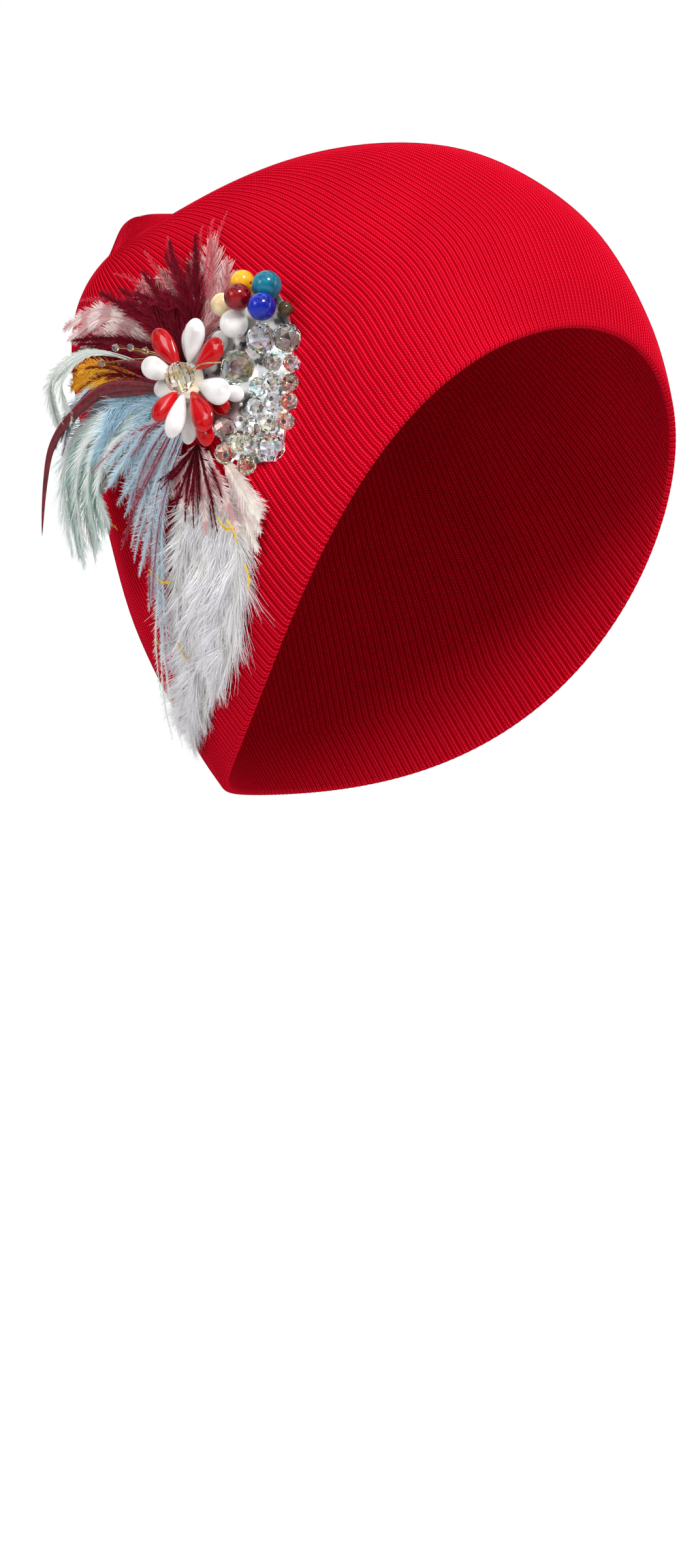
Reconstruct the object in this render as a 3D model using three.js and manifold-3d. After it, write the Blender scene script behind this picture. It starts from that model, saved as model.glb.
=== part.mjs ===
// A knitted flapper hat of the 1920s kind: a ribbed cap that hugs the head from the brow to the nape,
// with a bead brooch over the wearer's right ear and a spray of feathers tucked behind the brooch.
//
// Millimetres, +Z up. The wearer faces -Y and the wearer's right is -X. The origin is the middle of the
// head at the height of the rim over the brow, where the head holds the hat.

import * as THREE from "three";
import Module from "manifold-3d";

const wasm = await Module();
wasm.setup();
const { Manifold, CrossSection } = wasm;

// Pieces that touch on the real hat keep this gap.
const GAP = 0.3;

const radians = THREE.MathUtils.degToRad;

// ---------------------------------------------------------------------------------------------------
// The knit cap: a tube of rib knit, closed at the crown, whose rings fan from the rim to the crown tip.
// Each row is one ring. front is its point over the brow and back its point over the nape, reach is its
// half width, dip is how far its sides hang towards the face below the plane through both points,
// dipLate moves that dip towards the nape, and taper makes the ring wider towards the brow.

const CAP_RINGS = [
  { frontY: -103.5, frontZ: -6, backY: 65, backZ: -153.5, reach: 70.5, dip: 26.5, dipLate: 0.5, taper: 0.2 },
  { frontY: -98.5, frontZ: 11, backY: 84, backZ: -132, reach: 72.5, dip: 24, dipLate: 0.4, taper: 0.15 },
  { frontY: -85.5, frontZ: 32, backY: 98.5, backZ: -102, reach: 75.5, dip: 18, dipLate: 0.2, taper: 0 },
  { frontY: -60.5, frontZ: 49, backY: 109, backZ: -68, reach: 76, dip: 13, dipLate: 0.1, taper: -0.03 },
  { frontY: -32, frontZ: 60, backY: 115, backZ: -36, reach: 76, dip: 8.5, dipLate: 0, taper: -0.08 },
  { frontY: 5, frontZ: 63.5, backY: 119, backZ: -11.5, reach: 69, dip: 6.5, dipLate: -0.1, taper: -0.1 },
  { frontY: 41, frontZ: 57, backY: 120, backZ: 8, reach: 57, dip: 4.5, dipLate: -0.2, taper: -0.08 },
  { frontY: 71, frontZ: 51, backY: 117, backZ: 19.5, reach: 42, dip: -0.5, dipLate: -0.2, taper: 0 },
  { frontY: 93.5, frontZ: 53, backY: 113.5, backZ: 32, reach: 28, dip: -6, dipLate: -0.2, taper: 0.1 },
  { frontY: 107.5, frontZ: 55, backY: 108, backZ: 41, reach: 15, dip: -8, dipLate: -0.2, taper: 0.15 },
  { frontY: 113.5, frontZ: 53, backY: 114, backZ: 43.5, reach: 8, dip: -2.5, dipLate: 0, taper: 0 },
];
const CAP_WALL = 2.6;
const CAP_SIDES = 48;
const CAP_OUTER_STEPS = 20;
const CAP_INNER_STEPS = 11;

// A smooth value at t from 0 to 1 through the equally spaced numbers of one column.
function smoothColumn(rows, name, t) {
  const last = rows.length - 1;
  const at = Math.min(t * last, last - 1e-9);
  const i = Math.floor(at);
  const f = at - i;
  const value = (k) => rows[Math.min(Math.max(k, 0), last)][name];
  const startSlope = (value(i + 1) - value(i - 1)) / 2;
  const endSlope = (value(i + 2) - value(i)) / 2;
  const rise = value(i + 1) - value(i);
  const square = 3 * rise - 2 * startSlope - endSlope;
  const cube = startSlope + endSlope - 2 * rise;
  return value(i) + f * (startSlope + f * (square + f * cube));
}

// A point of the cap's outer face. turn is 0 over the brow, 0.5 over the nape and 0.75 on the wearer's
// right; t is 0 at the rim and 1 at the crown tip.
function capPoint(turn, t) {
  const at = (name) => smoothColumn(CAP_RINGS, name, t);
  const front = new THREE.Vector3(0, at("frontY"), at("frontZ"));
  const back = new THREE.Vector3(0, at("backY"), at("backZ"));
  const middle = front.clone().add(back).multiplyScalar(0.5);
  const half = front.clone().sub(back).multiplyScalar(0.5);
  const down = new THREE.Vector3(0, -half.z, half.y).normalize();
  const angle = turn * 2 * Math.PI;
  const ahead = Math.cos(angle);
  const aside = Math.sin(angle);
  const dip = at("dip") * aside * aside * (1 - at("dipLate") * ahead);
  return middle
    .addScaledVector(half, ahead)
    .addScaledVector(down, dip)
    .setX(at("reach") * aside * (1 + at("taper") * ahead));
}

function capNormal(turn, t) {
  const step = 1e-3;
  const inside = Math.min(Math.max(t, step), 1 - step);
  const along = capPoint(turn, inside + step).sub(capPoint(turn, inside - step));
  const around = capPoint(turn + step, inside).sub(capPoint(turn - step, inside));
  return around.cross(along).normalize();
}

// The place on the cap where two measures of a point, such as its bearing and height, have given values.
function capWhere(measure, wanted, turn, t) {
  const step = 1e-4;
  for (let round = 0; round < 12; round++) {
    const here = measure(capPoint(turn, t));
    const byTurn = measure(capPoint(turn + step, t));
    const byT = measure(capPoint(turn, t + step));
    const a = (byTurn[0] - here[0]) / step;
    const b = (byT[0] - here[0]) / step;
    const c = (byTurn[1] - here[1]) / step;
    const d = (byT[1] - here[1]) / step;
    const missing = [wanted[0] - here[0], wanted[1] - here[1]];
    const scale = a * d - b * c;
    turn += THREE.MathUtils.clamp((d * missing[0] - b * missing[1]) / scale, -0.05, 0.05);
    t += THREE.MathUtils.clamp((a * missing[1] - c * missing[0]) / scale, -0.1, 0.1);
    t = THREE.MathUtils.clamp(t, 0.002, 0.98);
  }
  return { point: capPoint(turn, t), normal: capNormal(turn, t) };
}

// A place on the cap by bearing (degrees from the wearer's right towards the back, around a line through
// the middle of the head) and height.
const HEAD_LINE_Y = 10;

function capAt(bearing, z) {
  const measure = (p) => [THREE.MathUtils.radToDeg(Math.atan2(p.y - HEAD_LINE_Y, -p.x)), p.z];
  const turn = 0.75 - bearing / 360;
  return capWhere(measure, [bearing, z], turn, 0.35);
}

function addPiece(parent, name, geometry, look) {
  const mesh = new THREE.Mesh(geometry, new THREE.MeshStandardMaterial(look));
  mesh.name = name;
  parent.add(mesh);
  return mesh;
}

function closedGeometry(points, faces) {
  const geometry = new THREE.BufferGeometry();
  const flat = points.flatMap((p) => [p.x, p.y, p.z]);
  geometry.setAttribute("position", new THREE.Float32BufferAttribute(flat, 3));
  geometry.setIndex(faces.flat());
  return geometry;
}

// A skin through rings of points, closed by a point at each end.
function ringSkin(rings, startPoint, endPoint) {
  const around = rings[0].length;
  const points = [startPoint, ...rings.flat(), endPoint];
  const end = points.length - 1;
  const id = (k, j) => 1 + k * around + (j % around);
  const faces = [];
  for (let j = 0; j < around; j++) {
    faces.push([0, id(0, j + 1), id(0, j)]);
    faces.push([end, id(rings.length - 1, j), id(rings.length - 1, j + 1)]);
    for (let k = 0; k + 1 < rings.length; k++) {
      faces.push([id(k, j), id(k, j + 1), id(k + 1, j + 1)]);
      faces.push([id(k, j), id(k + 1, j + 1), id(k + 1, j)]);
    }
  }
  return closedGeometry(points, faces);
}

function middleOf(points) {
  const sum = new THREE.Vector3();
  points.forEach((p) => sum.add(p));
  return sum.divideScalar(points.length);
}

function steps(count) {
  return Array.from({ length: count + 1 }, (_, k) => k / count);
}

function capGeometry() {
  const turns = steps(CAP_SIDES).slice(0, CAP_SIDES);
  const ring = (t, depth) =>
    turns.map((turn) => capPoint(turn, t).addScaledVector(capNormal(turn, t), -depth));
  const hemFold = turns.map((turn) => {
    const rim = capPoint(turn, 0);
    const outward = rim.clone().sub(capPoint(turn, 0.02)).normalize();
    return rim
      .addScaledVector(capNormal(turn, 0), -CAP_WALL / 2)
      .addScaledVector(outward, CAP_WALL / 2);
  });
  const outer = steps(CAP_OUTER_STEPS).map((t) => ring(t, 0));
  const inner = steps(CAP_INNER_STEPS).map((t) => ring(t, CAP_WALL));
  const crownOut = middleOf(outer.at(-1));
  const crownIn = middleOf(inner.at(-1));
  return ringSkin([...inner.reverse(), hemFold, ...outer], crownIn, crownOut);
}

// ---------------------------------------------------------------------------------------------------
// The brooch stands over the wearer's right temple and ear. Its own axes are x forward to the face,
// y up and z out from the head, in a group that faces a little more forward than the cap under it.

const BROOCH_BEARING = -18.3;
const BROOCH_Z = -25;
const BROOCH_FACING = { bearing: -14, rise: 5 };
const PLATE_LIFT = 1.2;
const PLATE_CLEARANCE = 0.4;
const PLATE_THICKNESS = 1.1;

const broochOrigin = capAt(BROOCH_BEARING, BROOCH_Z).point;
const broochOut = new THREE.Vector3(
  -Math.cos(radians(BROOCH_FACING.bearing)),
  Math.sin(radians(BROOCH_FACING.bearing)),
  Math.tan(radians(BROOCH_FACING.rise)),
).normalize();
const broochUp = new THREE.Vector3(0, 0, 1).addScaledVector(broochOut, -broochOut.z).normalize();
const broochForward = new THREE.Vector3().crossVectors(broochUp, broochOut);
const broochFrame = new THREE.Matrix4()
  .makeBasis(broochForward, broochUp, broochOut)
  .setPosition(broochOrigin);
const broochInverse = broochFrame.clone().invert();

// The height of the cap's face, in the brooch's axes, at x and y there.
function capHeightUnderBrooch(x, y) {
  const measure = (p) => {
    const local = p.clone().applyMatrix4(broochInverse);
    return [local.x, local.y];
  };
  const found = capWhere(measure, [x, y], 0.8, 0.35);
  return found.point.applyMatrix4(broochInverse).z;
}

// The underside of the brooch plate: clear of the feather quills behind, close to the knit in front.
function plateUnderside(x, y) {
  const near = capHeightUnderBrooch(x, y) + PLATE_CLEARANCE;
  const blend = 0.5;
  return (near + PLATE_LIFT + Math.hypot(near - PLATE_LIFT, blend)) / 2;
}

const plateTop = (x, y) => plateUnderside(x, y) + PLATE_THICKNESS;

// The outline of the plate, a kidney that lies behind the flower, the crystals and the coloured beads.
const PLATE_OUTLINE = [
  { x: -20, y: 4 },
  { x: -17, y: 11 },
  { x: -8, y: 12 },
  { x: -2, y: 18 },
  { x: 1, y: 28 },
  { x: 8, y: 34 },
  { x: 17, y: 32 },
  { x: 22.5, y: 24 },
  { x: 25.5, y: 15 },
  { x: 26.5, y: 3 },
  { x: 26.5, y: -12 },
  { x: 24.5, y: -21 },
  { x: 15, y: -24.5 },
  { x: 4, y: -22 },
  { x: -3, y: -13 },
  { x: -12, y: -7 },
  { x: -19, y: -3 },
];
const PLATE_EDGE_POINTS = 28;
const PLATE_MESH_SIZE = 11;

// The flower stands on a post with a small dish that carries the upper petals and the centre bead.
const FLOWER = { x: -11.5, y: 3.4 };
const POST_RADIUS = 1.5;
const DISH = { radius: 6, thickness: 0.8, height: 3.6 };
const PETAL_ROOT_THICKNESS = 2.2;

const dishTop = plateTop(FLOWER.x, FLOWER.y) + DISH.height + DISH.thickness;

function plateGeometry() {
  const corners = PLATE_OUTLINE.map(({ x, y }) => new THREE.Vector2(x, y));
  const curve = new THREE.SplineCurve([...corners, corners[0]]);
  const edge = curve.getSpacedPoints(PLATE_EDGE_POINTS).slice(0, -1);
  const section = CrossSection.ofPolygons([edge.map((p) => [p.x, p.y])], "EvenOdd");
  const sheet = section.extrude(PLATE_THICKNESS).refineToLength(PLATE_MESH_SIZE);
  const plate = sheet.warp((p) => {
    p[2] += plateUnderside(p[0], p[1]);
  });
  const foot = plateTop(FLOWER.x, FLOWER.y) - PLATE_THICKNESS / 2;
  const post = Manifold.cylinder(dishTop - foot, POST_RADIUS, POST_RADIUS, 10);
  const dish = Manifold.cylinder(DISH.thickness, DISH.radius - 0.6, DISH.radius, 14);
  return fromManifold(
    Manifold.union([
      plate,
      post.translate([FLOWER.x, FLOWER.y, foot]),
      dish.translate([FLOWER.x, FLOWER.y, dishTop - DISH.thickness]),
    ]),
  );
}

function fromManifold(solid) {
  const mesh = solid.getMesh();
  const geometry = new THREE.BufferGeometry();
  const positions = new Float32Array((mesh.vertProperties.length / mesh.numProp) * 3);
  for (let i = 0; i < positions.length / 3; i++) {
    positions.set(mesh.vertProperties.subarray(i * mesh.numProp, i * mesh.numProp + 3), i * 3);
  }
  geometry.setAttribute("position", new THREE.BufferAttribute(positions, 3));
  geometry.setIndex(new THREE.BufferAttribute(new Uint32Array(mesh.triVerts), 1));
  return geometry;
}

// A faceted crystal of unit radius: a table at each end, a belt of flat facets and two slanted rows.
const CRYSTAL_SIDES = 8;
const CRYSTAL_TABLE = { radius: 0.42, height: 0.9 };
const CRYSTAL_BELT = { radius: 0.97, height: 0.28 };

function crystalGeometry(radius) {
  const half = [
    { radius: 0, height: CRYSTAL_TABLE.height },
    CRYSTAL_TABLE,
    CRYSTAL_BELT,
  ];
  const corners = [...half.map((p) => ({ ...p, height: -p.height })), ...half.reverse()];
  const profile = corners.map((p) => new THREE.Vector2(p.radius * radius, p.height * radius));
  return new THREE.LatheGeometry(profile, CRYSTAL_SIDES).rotateX(Math.PI / 2);
}

const roundGeometry = (radius) => new THREE.SphereGeometry(radius, 12, 7);

// The crystals and beads, in the brooch's axes. Each one lies on the plate, or on those above it in the
// list where they crowd it.
const CRYSTALS = [
  { name: "crystal_edge_1", x: 29, y: 5.8, size: 5.9 },
  { name: "crystal_edge_2", x: 29.3, y: -0.4, size: 5.9 },
  { name: "crystal_edge_3", x: 29.8, y: -6.6, size: 5.9 },
  { name: "crystal_edge_4", x: 29.2, y: -12.8, size: 5.9 },
  { name: "crystal_top_front", x: 27.4, y: 13.7, size: 9.6 },
  { name: "crystal_top_middle", x: 17.1, y: 14.2, size: 10 },
  { name: "crystal_centre", x: 9.3, y: 5.7, size: 11.7 },
  { name: "crystal_inner_1", x: 21.3, y: 6.7, size: 6.4 },
  { name: "crystal_inner_2", x: 22.9, y: 0.2, size: 6.4 },
  { name: "crystal_inner_3", x: 16.2, y: -0.8, size: 6.4 },
  { name: "crystal_inner_4", x: 23.3, y: -6.5, size: 6.4 },
  { name: "crystal_inner_5", x: 16.7, y: -7.5, size: 6.4 },
  { name: "crystal_inner_6", x: 22.9, y: -13.1, size: 6.2 },
  { name: "crystal_inner_7", x: 16.4, y: -14.2, size: 6.4 },
  { name: "crystal_inner_8", x: 10.3, y: -11.7, size: 6 },
  { name: "crystal_inner_9", x: 11.5, y: -18.6, size: 6.2 },
  { name: "crystal_inner_10", x: 17.7, y: -20.6, size: 6.2 },
  { name: "crystal_low_rear", x: 3.6, y: -13.1, size: 7.2 },
  { name: "crystal_low_left", x: 4.4, y: -21.2, size: 7.6 },
  { name: "crystal_low_front", x: 25.8, y: -21.4, size: 9.6 },
  { name: "crystal_low_peach", x: 13, y: -25.4, size: 6.5 },
];
const COLOURED_BEADS = [
  { name: "bead_white", x: 6, y: 20, size: 9.3, colour: 0xf3efec },
  { name: "bead_cream", x: 0.2, y: 26.8, size: 7.7, colour: 0xe6cf9c },
  { name: "bead_yellow", x: 8, y: 33.3, size: 8, colour: 0xe99a0a },
  { name: "bead_teal", x: 18.4, y: 31.2, size: 9.6, colour: 0x107c98 },
  { name: "bead_olive", x: 24.6, y: 23.6, size: 5, colour: 0x4a3d26 },
  { name: "bead_dark_red", x: 10.8, y: 27.2, size: 8.8, colour: 0x6e0710 },
  { name: "bead_blue", x: 20.6, y: 23.2, size: 9, colour: 0x0b1fb0 },
];

// Adds a height to each ball: it rests on the plate, or on any earlier ball that it would meet.
function seatBalls(balls) {
  const seated = [];
  for (const ball of balls) {
    const radius = ball.size / 2;
    const foot = ball.colour === undefined ? radius * CRYSTAL_TABLE.height : radius;
    let height = plateTop(ball.x, ball.y) + GAP + foot;
    for (const other of seated) {
      const reach = radius + other.size / 2 + GAP;
      const aside = Math.hypot(ball.x - other.x, ball.y - other.y);
      if (aside < reach) {
        height = Math.max(height, other.height + Math.sqrt(reach * reach - aside * aside));
      }
    }
    seated.push({ ...ball, height });
  }
  return seated;
}

// The petals. angle is degrees anticlockwise from forward, and from and to are distances from the middle
// of the flower. Upper petals lie on the dish and lower ones on the plate.
const PETALS = [
  { name: "petal_white_up", angle: 77, from: 5, to: 19.5, width: 8.8, upper: true, white: true },
  { name: "petal_red_front_up", angle: 36, from: 5, to: 18.5, width: 8.6, upper: true, white: false },
  { name: "petal_red_rear_up", angle: 128, from: 5, to: 21, width: 8, upper: true, white: false },
  { name: "petal_white_rear", angle: 161, from: 5, to: 18.5, width: 7.8, upper: true, white: true },
  { name: "petal_red_rear_low", angle: 228, from: 5, to: 17, width: 7.6, upper: true, white: false },
  { name: "petal_white_low", angle: 259, from: 5, to: 19.5, width: 8, upper: true, white: true },
  { name: "petal_red_low", angle: 304, from: 5, to: 21, width: 8.8, upper: true, white: false },
  { name: "petal_white_front", angle: 340, from: 5, to: 21, width: 8.8, upper: true, white: true },
  { name: "petal_white_up_under", angle: 98, from: 3, to: 18.5, width: 7.6, upper: false, white: true },
  { name: "petal_white_rear_under", angle: 186, from: 3, to: 16, width: 7.2, upper: false, white: true },
  { name: "petal_white_low_under", angle: 269, from: 6, to: 20.5, width: 7.2, upper: false, white: true },
  { name: "petal_red_low_under", angle: 291, from: 7, to: 23, width: 7.6, upper: false, white: false },
  { name: "petal_red_front_under", angle: 324, from: 7, to: 18.5, width: 7, upper: false, white: false },
  { name: "petal_white_front_under", angle: 343, from: 10, to: 22, width: 5.4, upper: false, white: true },
  { name: "petal_pink_up_under", angle: 52, from: 9, to: 19, width: 7.4, upper: false, white: true },
];
const PETAL_THICKNESS = 3.4;
const PETAL_RISE = { upper: 7, lower: 5 };
const PETAL_STATIONS = [0.04, 0.2, 0.4, 0.6, 0.78, 0.93];

// A rounded glass petal along +X from its root at the origin: narrow at the root, widest past the middle.
function petalGeometry(length, width) {
  const around = steps(8).slice(0, 8);
  const rings = PETAL_STATIONS.map((s) => {
    const fullness = Math.sqrt(Math.sin(Math.PI * Math.pow(s, 1.25))) * (0.55 + 0.45 * s);
    const body = (PETAL_THICKNESS - PETAL_ROOT_THICKNESS) * Math.sin(Math.PI * s);
    const thickness = (PETAL_ROOT_THICKNESS + body) * Math.min(1, 2.2 * Math.sqrt(1 - s));
    return around.map((turn) => {
      const y = (Math.cos(turn * 2 * Math.PI) * width * fullness) / 2;
      const z = (Math.sin(turn * 2 * Math.PI) * thickness) / 2;
      return new THREE.Vector3(s * length, y, z);
    });
  });
  return ringSkin(rings, new THREE.Vector3(0, 0, 0), new THREE.Vector3(length, 0, 0));
}

function addPetal(parent, petal) {
  const { upper } = petal;
  const rise = radians(upper ? PETAL_RISE.upper : PETAL_RISE.lower);
  const ahead = radians(petal.angle);
  const x = FLOWER.x + Math.cos(ahead) * petal.from;
  const y = FLOWER.y + Math.sin(ahead) * petal.from;
  const floor = upper ? dishTop : plateTop(x, y);
  const geometry = petalGeometry((petal.to - petal.from) / Math.cos(rise), petal.width);
  const colour = petal.white ? 0xf4f1ee : 0xd3060f;
  const mesh = addPiece(parent, petal.name, geometry, { color: colour, roughness: 0.12, metalness: 0 });
  mesh.position.set(x, y, floor + GAP + PETAL_ROOT_THICKNESS / 2);
  mesh.rotation.set(0, -rise, ahead, "ZYX");
}

const CENTRE_BEAD_SIZE = 10;
const silver = { color: 0xc9c7c4, roughness: 0.25, metalness: 1 };
const clearGlass = { color: 0xe9edf0, roughness: 0.03, metalness: 0 };
const champagneGlass = { color: 0xd9c7a2, roughness: 0.03, metalness: 0 };

function addBrooch(parent) {
  const brooch = new THREE.Group();
  brooch.applyMatrix4(broochFrame);
  parent.add(brooch);
  addPiece(brooch, "brooch_plate", plateGeometry(), silver);
  PETALS.forEach((petal) => addPetal(brooch, petal));
  const centre = addPiece(brooch, "flower_centre", crystalGeometry(CENTRE_BEAD_SIZE / 2), champagneGlass);
  const centreFoot = (CENTRE_BEAD_SIZE / 2) * CRYSTAL_TABLE.height;
  centre.position.set(FLOWER.x, FLOWER.y, dishTop + GAP + centreFoot);
  for (const { name, x, y, size, colour, height } of seatBalls([...CRYSTALS, ...COLOURED_BEADS])) {
    const cut = colour === undefined;
    const geometry = cut ? crystalGeometry(size / 2) : roundGeometry(size / 2);
    const look = cut ? clearGlass : { color: colour, roughness: 0.1, metalness: 0 };
    addPiece(brooch, name, geometry, look).position.set(x, y, height);
  }
}

// ---------------------------------------------------------------------------------------------------
// The feathers. Each plume is a bunch of blades that share one root, tucked under the brooch plate and
// 0.3 mm off the knit. Places are [bearing, height, lift]: degrees round the head from the wearer's
// right towards the back, millimetres up, and millimetres off the face of the cap. A blade runs from
// the root towards via and ends at tip.

const burgundy = { color: 0x5e0f1f, roughness: 0.7, metalness: 0 };
const stripedCream = { color: 0xe6cfcb, roughness: 0.8, metalness: 0 };
const gold = { color: 0xc98a1e, roughness: 0.7, metalness: 0 };
const iceBlue = { color: 0xb4cfe0, roughness: 0.8, metalness: 0 };
const mint = { color: 0xcfe6dc, roughness: 0.8, metalness: 0 };
const white = { color: 0xefebe6, roughness: 0.8, metalness: 0 };

const PLUMES = [
  {
    name: "burgundy_fan",
    look: burgundy,
    root: [-4, -16, 1],
    blades: [
      { via: [-9, 8, 1.2], tip: [-9, 31, 2.5], width: 6 },
      { via: [-4, 8, 1.4], tip: [-1, 25, 3], width: 7 },
      { via: [0, 6, 1.4], tip: [8, 21, 3.5], width: 8 },
      { via: [4, 2, 1.6], tip: [16, 17, 4], width: 8 },
      { via: [8, -2, 1.8], tip: [24, 10, 5], width: 8 },
    ],
  },
  {
    name: "striped_feathers",
    look: stripedCream,
    root: [1.4, -18.5, 1],
    blades: [
      { via: [25, -7, 1.8], tip: [41, 14, 6], width: 7 },
      { via: [27, -9, 1.8], tip: [43, 8, 6.5], width: 7 },
      { via: [27, -12, 1.8], tip: [43, 1, 7], width: 7 },
      { via: [25, -14, 1.8], tip: [40, -7, 7], width: 6 },
    ],
  },
  {
    name: "gold_feather",
    look: gold,
    root: [2, -23, 1],
    blades: [
      { via: [20, -19, 1.3], tip: [38, -15, 5], width: 6 },
      { via: [20, -22, 1.3], tip: [40, -21, 6], width: 6 },
    ],
  },
  {
    name: "blue_plume",
    look: iceBlue,
    root: [0.8, -27.5, 1],
    blades: [
      { via: [20, -27, 1.6], tip: [40, -28, 8], width: 7 },
      { via: [20, -32, 1.6], tip: [41, -37, 9], width: 8 },
    ],
  },
  {
    name: "burgundy_biots",
    look: burgundy,
    root: [-2.6, -31.5, 1],
    blades: [
      { via: [38, -38, 4], tip: [47, -66, 25], width: 5 },
      { via: [26, -42, 2], tip: [43, -58, 11], width: 5 },
      { via: [12, -38, 1.4], tip: [25, -47, 4], width: 5 },
    ],
  },
  {
    name: "mint_plume",
    look: mint,
    root: [-6, -35.5, 1],
    blades: [
      { via: [18, -52, 1], tip: [43, -74, 15], width: 8 },
      { via: [12, -54, 1], tip: [36, -70, 7], width: 9 },
    ],
  },
  {
    name: "ice_blue_strands",
    look: iceBlue,
    root: [-9.4, -39.5, 1],
    blades: [
      { via: [10, -66, 5], tip: [36, -86, 6], width: 3.6 },
      { via: [8, -74, 5], tip: [29, -102, 5], width: 3.6 },
      { via: [4, -90, 5], tip: [21, -134, 5], width: 3.6 },
    ],
  },
  {
    name: "white_plume",
    look: white,
    root: [-12.4, -43.5, 1],
    blades: [
      { via: [-2, -78, 1], tip: [14, -112, 1.4], width: 11 },
      { via: [-8, -112, 1], tip: [40, -141, 1.6], width: 14 },
      { via: [-10, -88, 1], tip: [-7, -122, 1.5], width: 13 },
      { via: [-14, -76, 1], tip: [-15, -106, 1.5], width: 11 },
    ],
  },
  {
    name: "burgundy_hackle",
    look: burgundy,
    root: [-14, -54, 2.9],
    blades: [
      { via: [-21, -62, 3.2], tip: [-24, -74, 3.6], width: 4 },
      { via: [-17, -64, 3.2], tip: [-19, -78, 3.6], width: 4 },
      { via: [-13, -64, 3.2], tip: [-13, -76, 3.6], width: 4 },
      { via: [-10, -61, 3.2], tip: [-8, -70, 3.6], width: 4 },
    ],
  },
  {
    name: "cream_tuft",
    look: stripedCream,
    root: [-19.5, -53, 1],
    blades: [
      { via: [-27, -59, 1.2], tip: [-31, -70, 2.5], width: 6 },
      { via: [-25, -64, 1.2], tip: [-27, -79, 2], width: 7 },
    ],
  },
];
const BLADE_THICKNESS = 1.4;
const BLADE_SPANS = 11;
const QUILL_WIDTH = 1.8;
const QUILL_SHARE = 0.16;
const LOCK_DEPTH = 0.26;
const ROOT_PAD = { radius: 1.5, thickness: 1.4 };
const SHORTEST_EDGE = 0.05;

// A point over the cap and the outward direction there.
function overCap([bearing, z, lift]) {
  const { point, normal } = capAt(bearing, z);
  return { point: point.addScaledVector(normal, lift), normal };
}

// The width of a blade along its length: a bare quill, then a long leaf shape cut into locks.
function bladeWidth(width, s, odd) {
  if (s < QUILL_SHARE) {
    return QUILL_WIDTH;
  }
  const along = (s - QUILL_SHARE) / (1 - QUILL_SHARE);
  const leaf = Math.pow(Math.sin(Math.PI * Math.pow(along * 0.94 + 0.03, 0.8)), 0.6);
  return Math.max(QUILL_WIDTH, width * leaf * (odd ? 1 : 1 - LOCK_DEPTH));
}

function bladeGeometry(root, { via, tip, width }) {
  const bend = (s) => root.map((r, i) => r * (1 - s) ** 2 + via[i] * 2 * s * (1 - s) + tip[i] * s * s);
  const places = steps(BLADE_SPANS).map((s) => overCap(bend(s)));
  const rings = places.slice(0, -1).map(({ point, normal }, k) => {
    const next = places[k + 1].point;
    const last = places[Math.max(k - 1, 0)].point;
    const aside = normal.clone().cross(next.clone().sub(last)).normalize();
    const half = bladeWidth(width, k / BLADE_SPANS, k % 2 === 1) / 2;
    const thick = BLADE_THICKNESS / 2;
    return [
      point.clone().addScaledVector(aside, half),
      point.clone().addScaledVector(normal, thick),
      point.clone().addScaledVector(aside, -half),
      point.clone().addScaledVector(normal, -thick),
    ];
  });
  return ringSkin(rings, middleOf(rings[0]), places.at(-1).point);
}

function toManifold(geometry) {
  const mesh = new wasm.Mesh({
    numProp: 3,
    vertProperties: geometry.getAttribute("position").array,
    triVerts: new Uint32Array(geometry.index.array),
  });
  return new Manifold(mesh);
}

function rootPad(root) {
  const { point, normal } = overCap(root);
  const turn = new THREE.Quaternion().setFromUnitVectors(new THREE.Vector3(0, 0, 1), normal);
  const placing = new THREE.Matrix4().compose(point, turn, new THREE.Vector3(1, 1, 1));
  const pad = Manifold.cylinder(ROOT_PAD.thickness, ROOT_PAD.radius, ROOT_PAD.radius, 8, true);
  return pad.transform(placing.elements);
}

// The blades and the root pad as one solid, with any small hollow that they close in filled.
function addPlume(parent, { name, look, root, blades }) {
  const solids = blades.map((blade) => toManifold(bladeGeometry(root, blade)));
  const joined = Manifold.union([rootPad(root), ...solids]).asOriginal().simplify(SHORTEST_EDGE);
  const plume = Manifold.compose(joined.decompose().filter((body) => body.volume() > 0));
  addPiece(parent, name, fromManifold(plume), look);
}

const redKnit = { color: 0xc4061c, roughness: 0.9, metalness: 0 };

const hat = new THREE.Group();
addPiece(hat, "knit_cap", capGeometry(), redKnit);
addBrooch(hat);
PLUMES.forEach((plume) => addPlume(hat, plume));

export default hat;
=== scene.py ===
# A knitted flapper hat: a crimson rib-knit cap with a brooch of glass petals, crystals and beads over the
# wearer's right ear, and a spray of dyed feathers tucked behind the brooch.
#
# Metres, +Z up. The wearer faces -Y, and the wearer's right, with the brooch, is -X.

import math

import bmesh
import bpy
import numpy as np
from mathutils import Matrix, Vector
from mathutils.bvhtree import BVHTree


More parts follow.
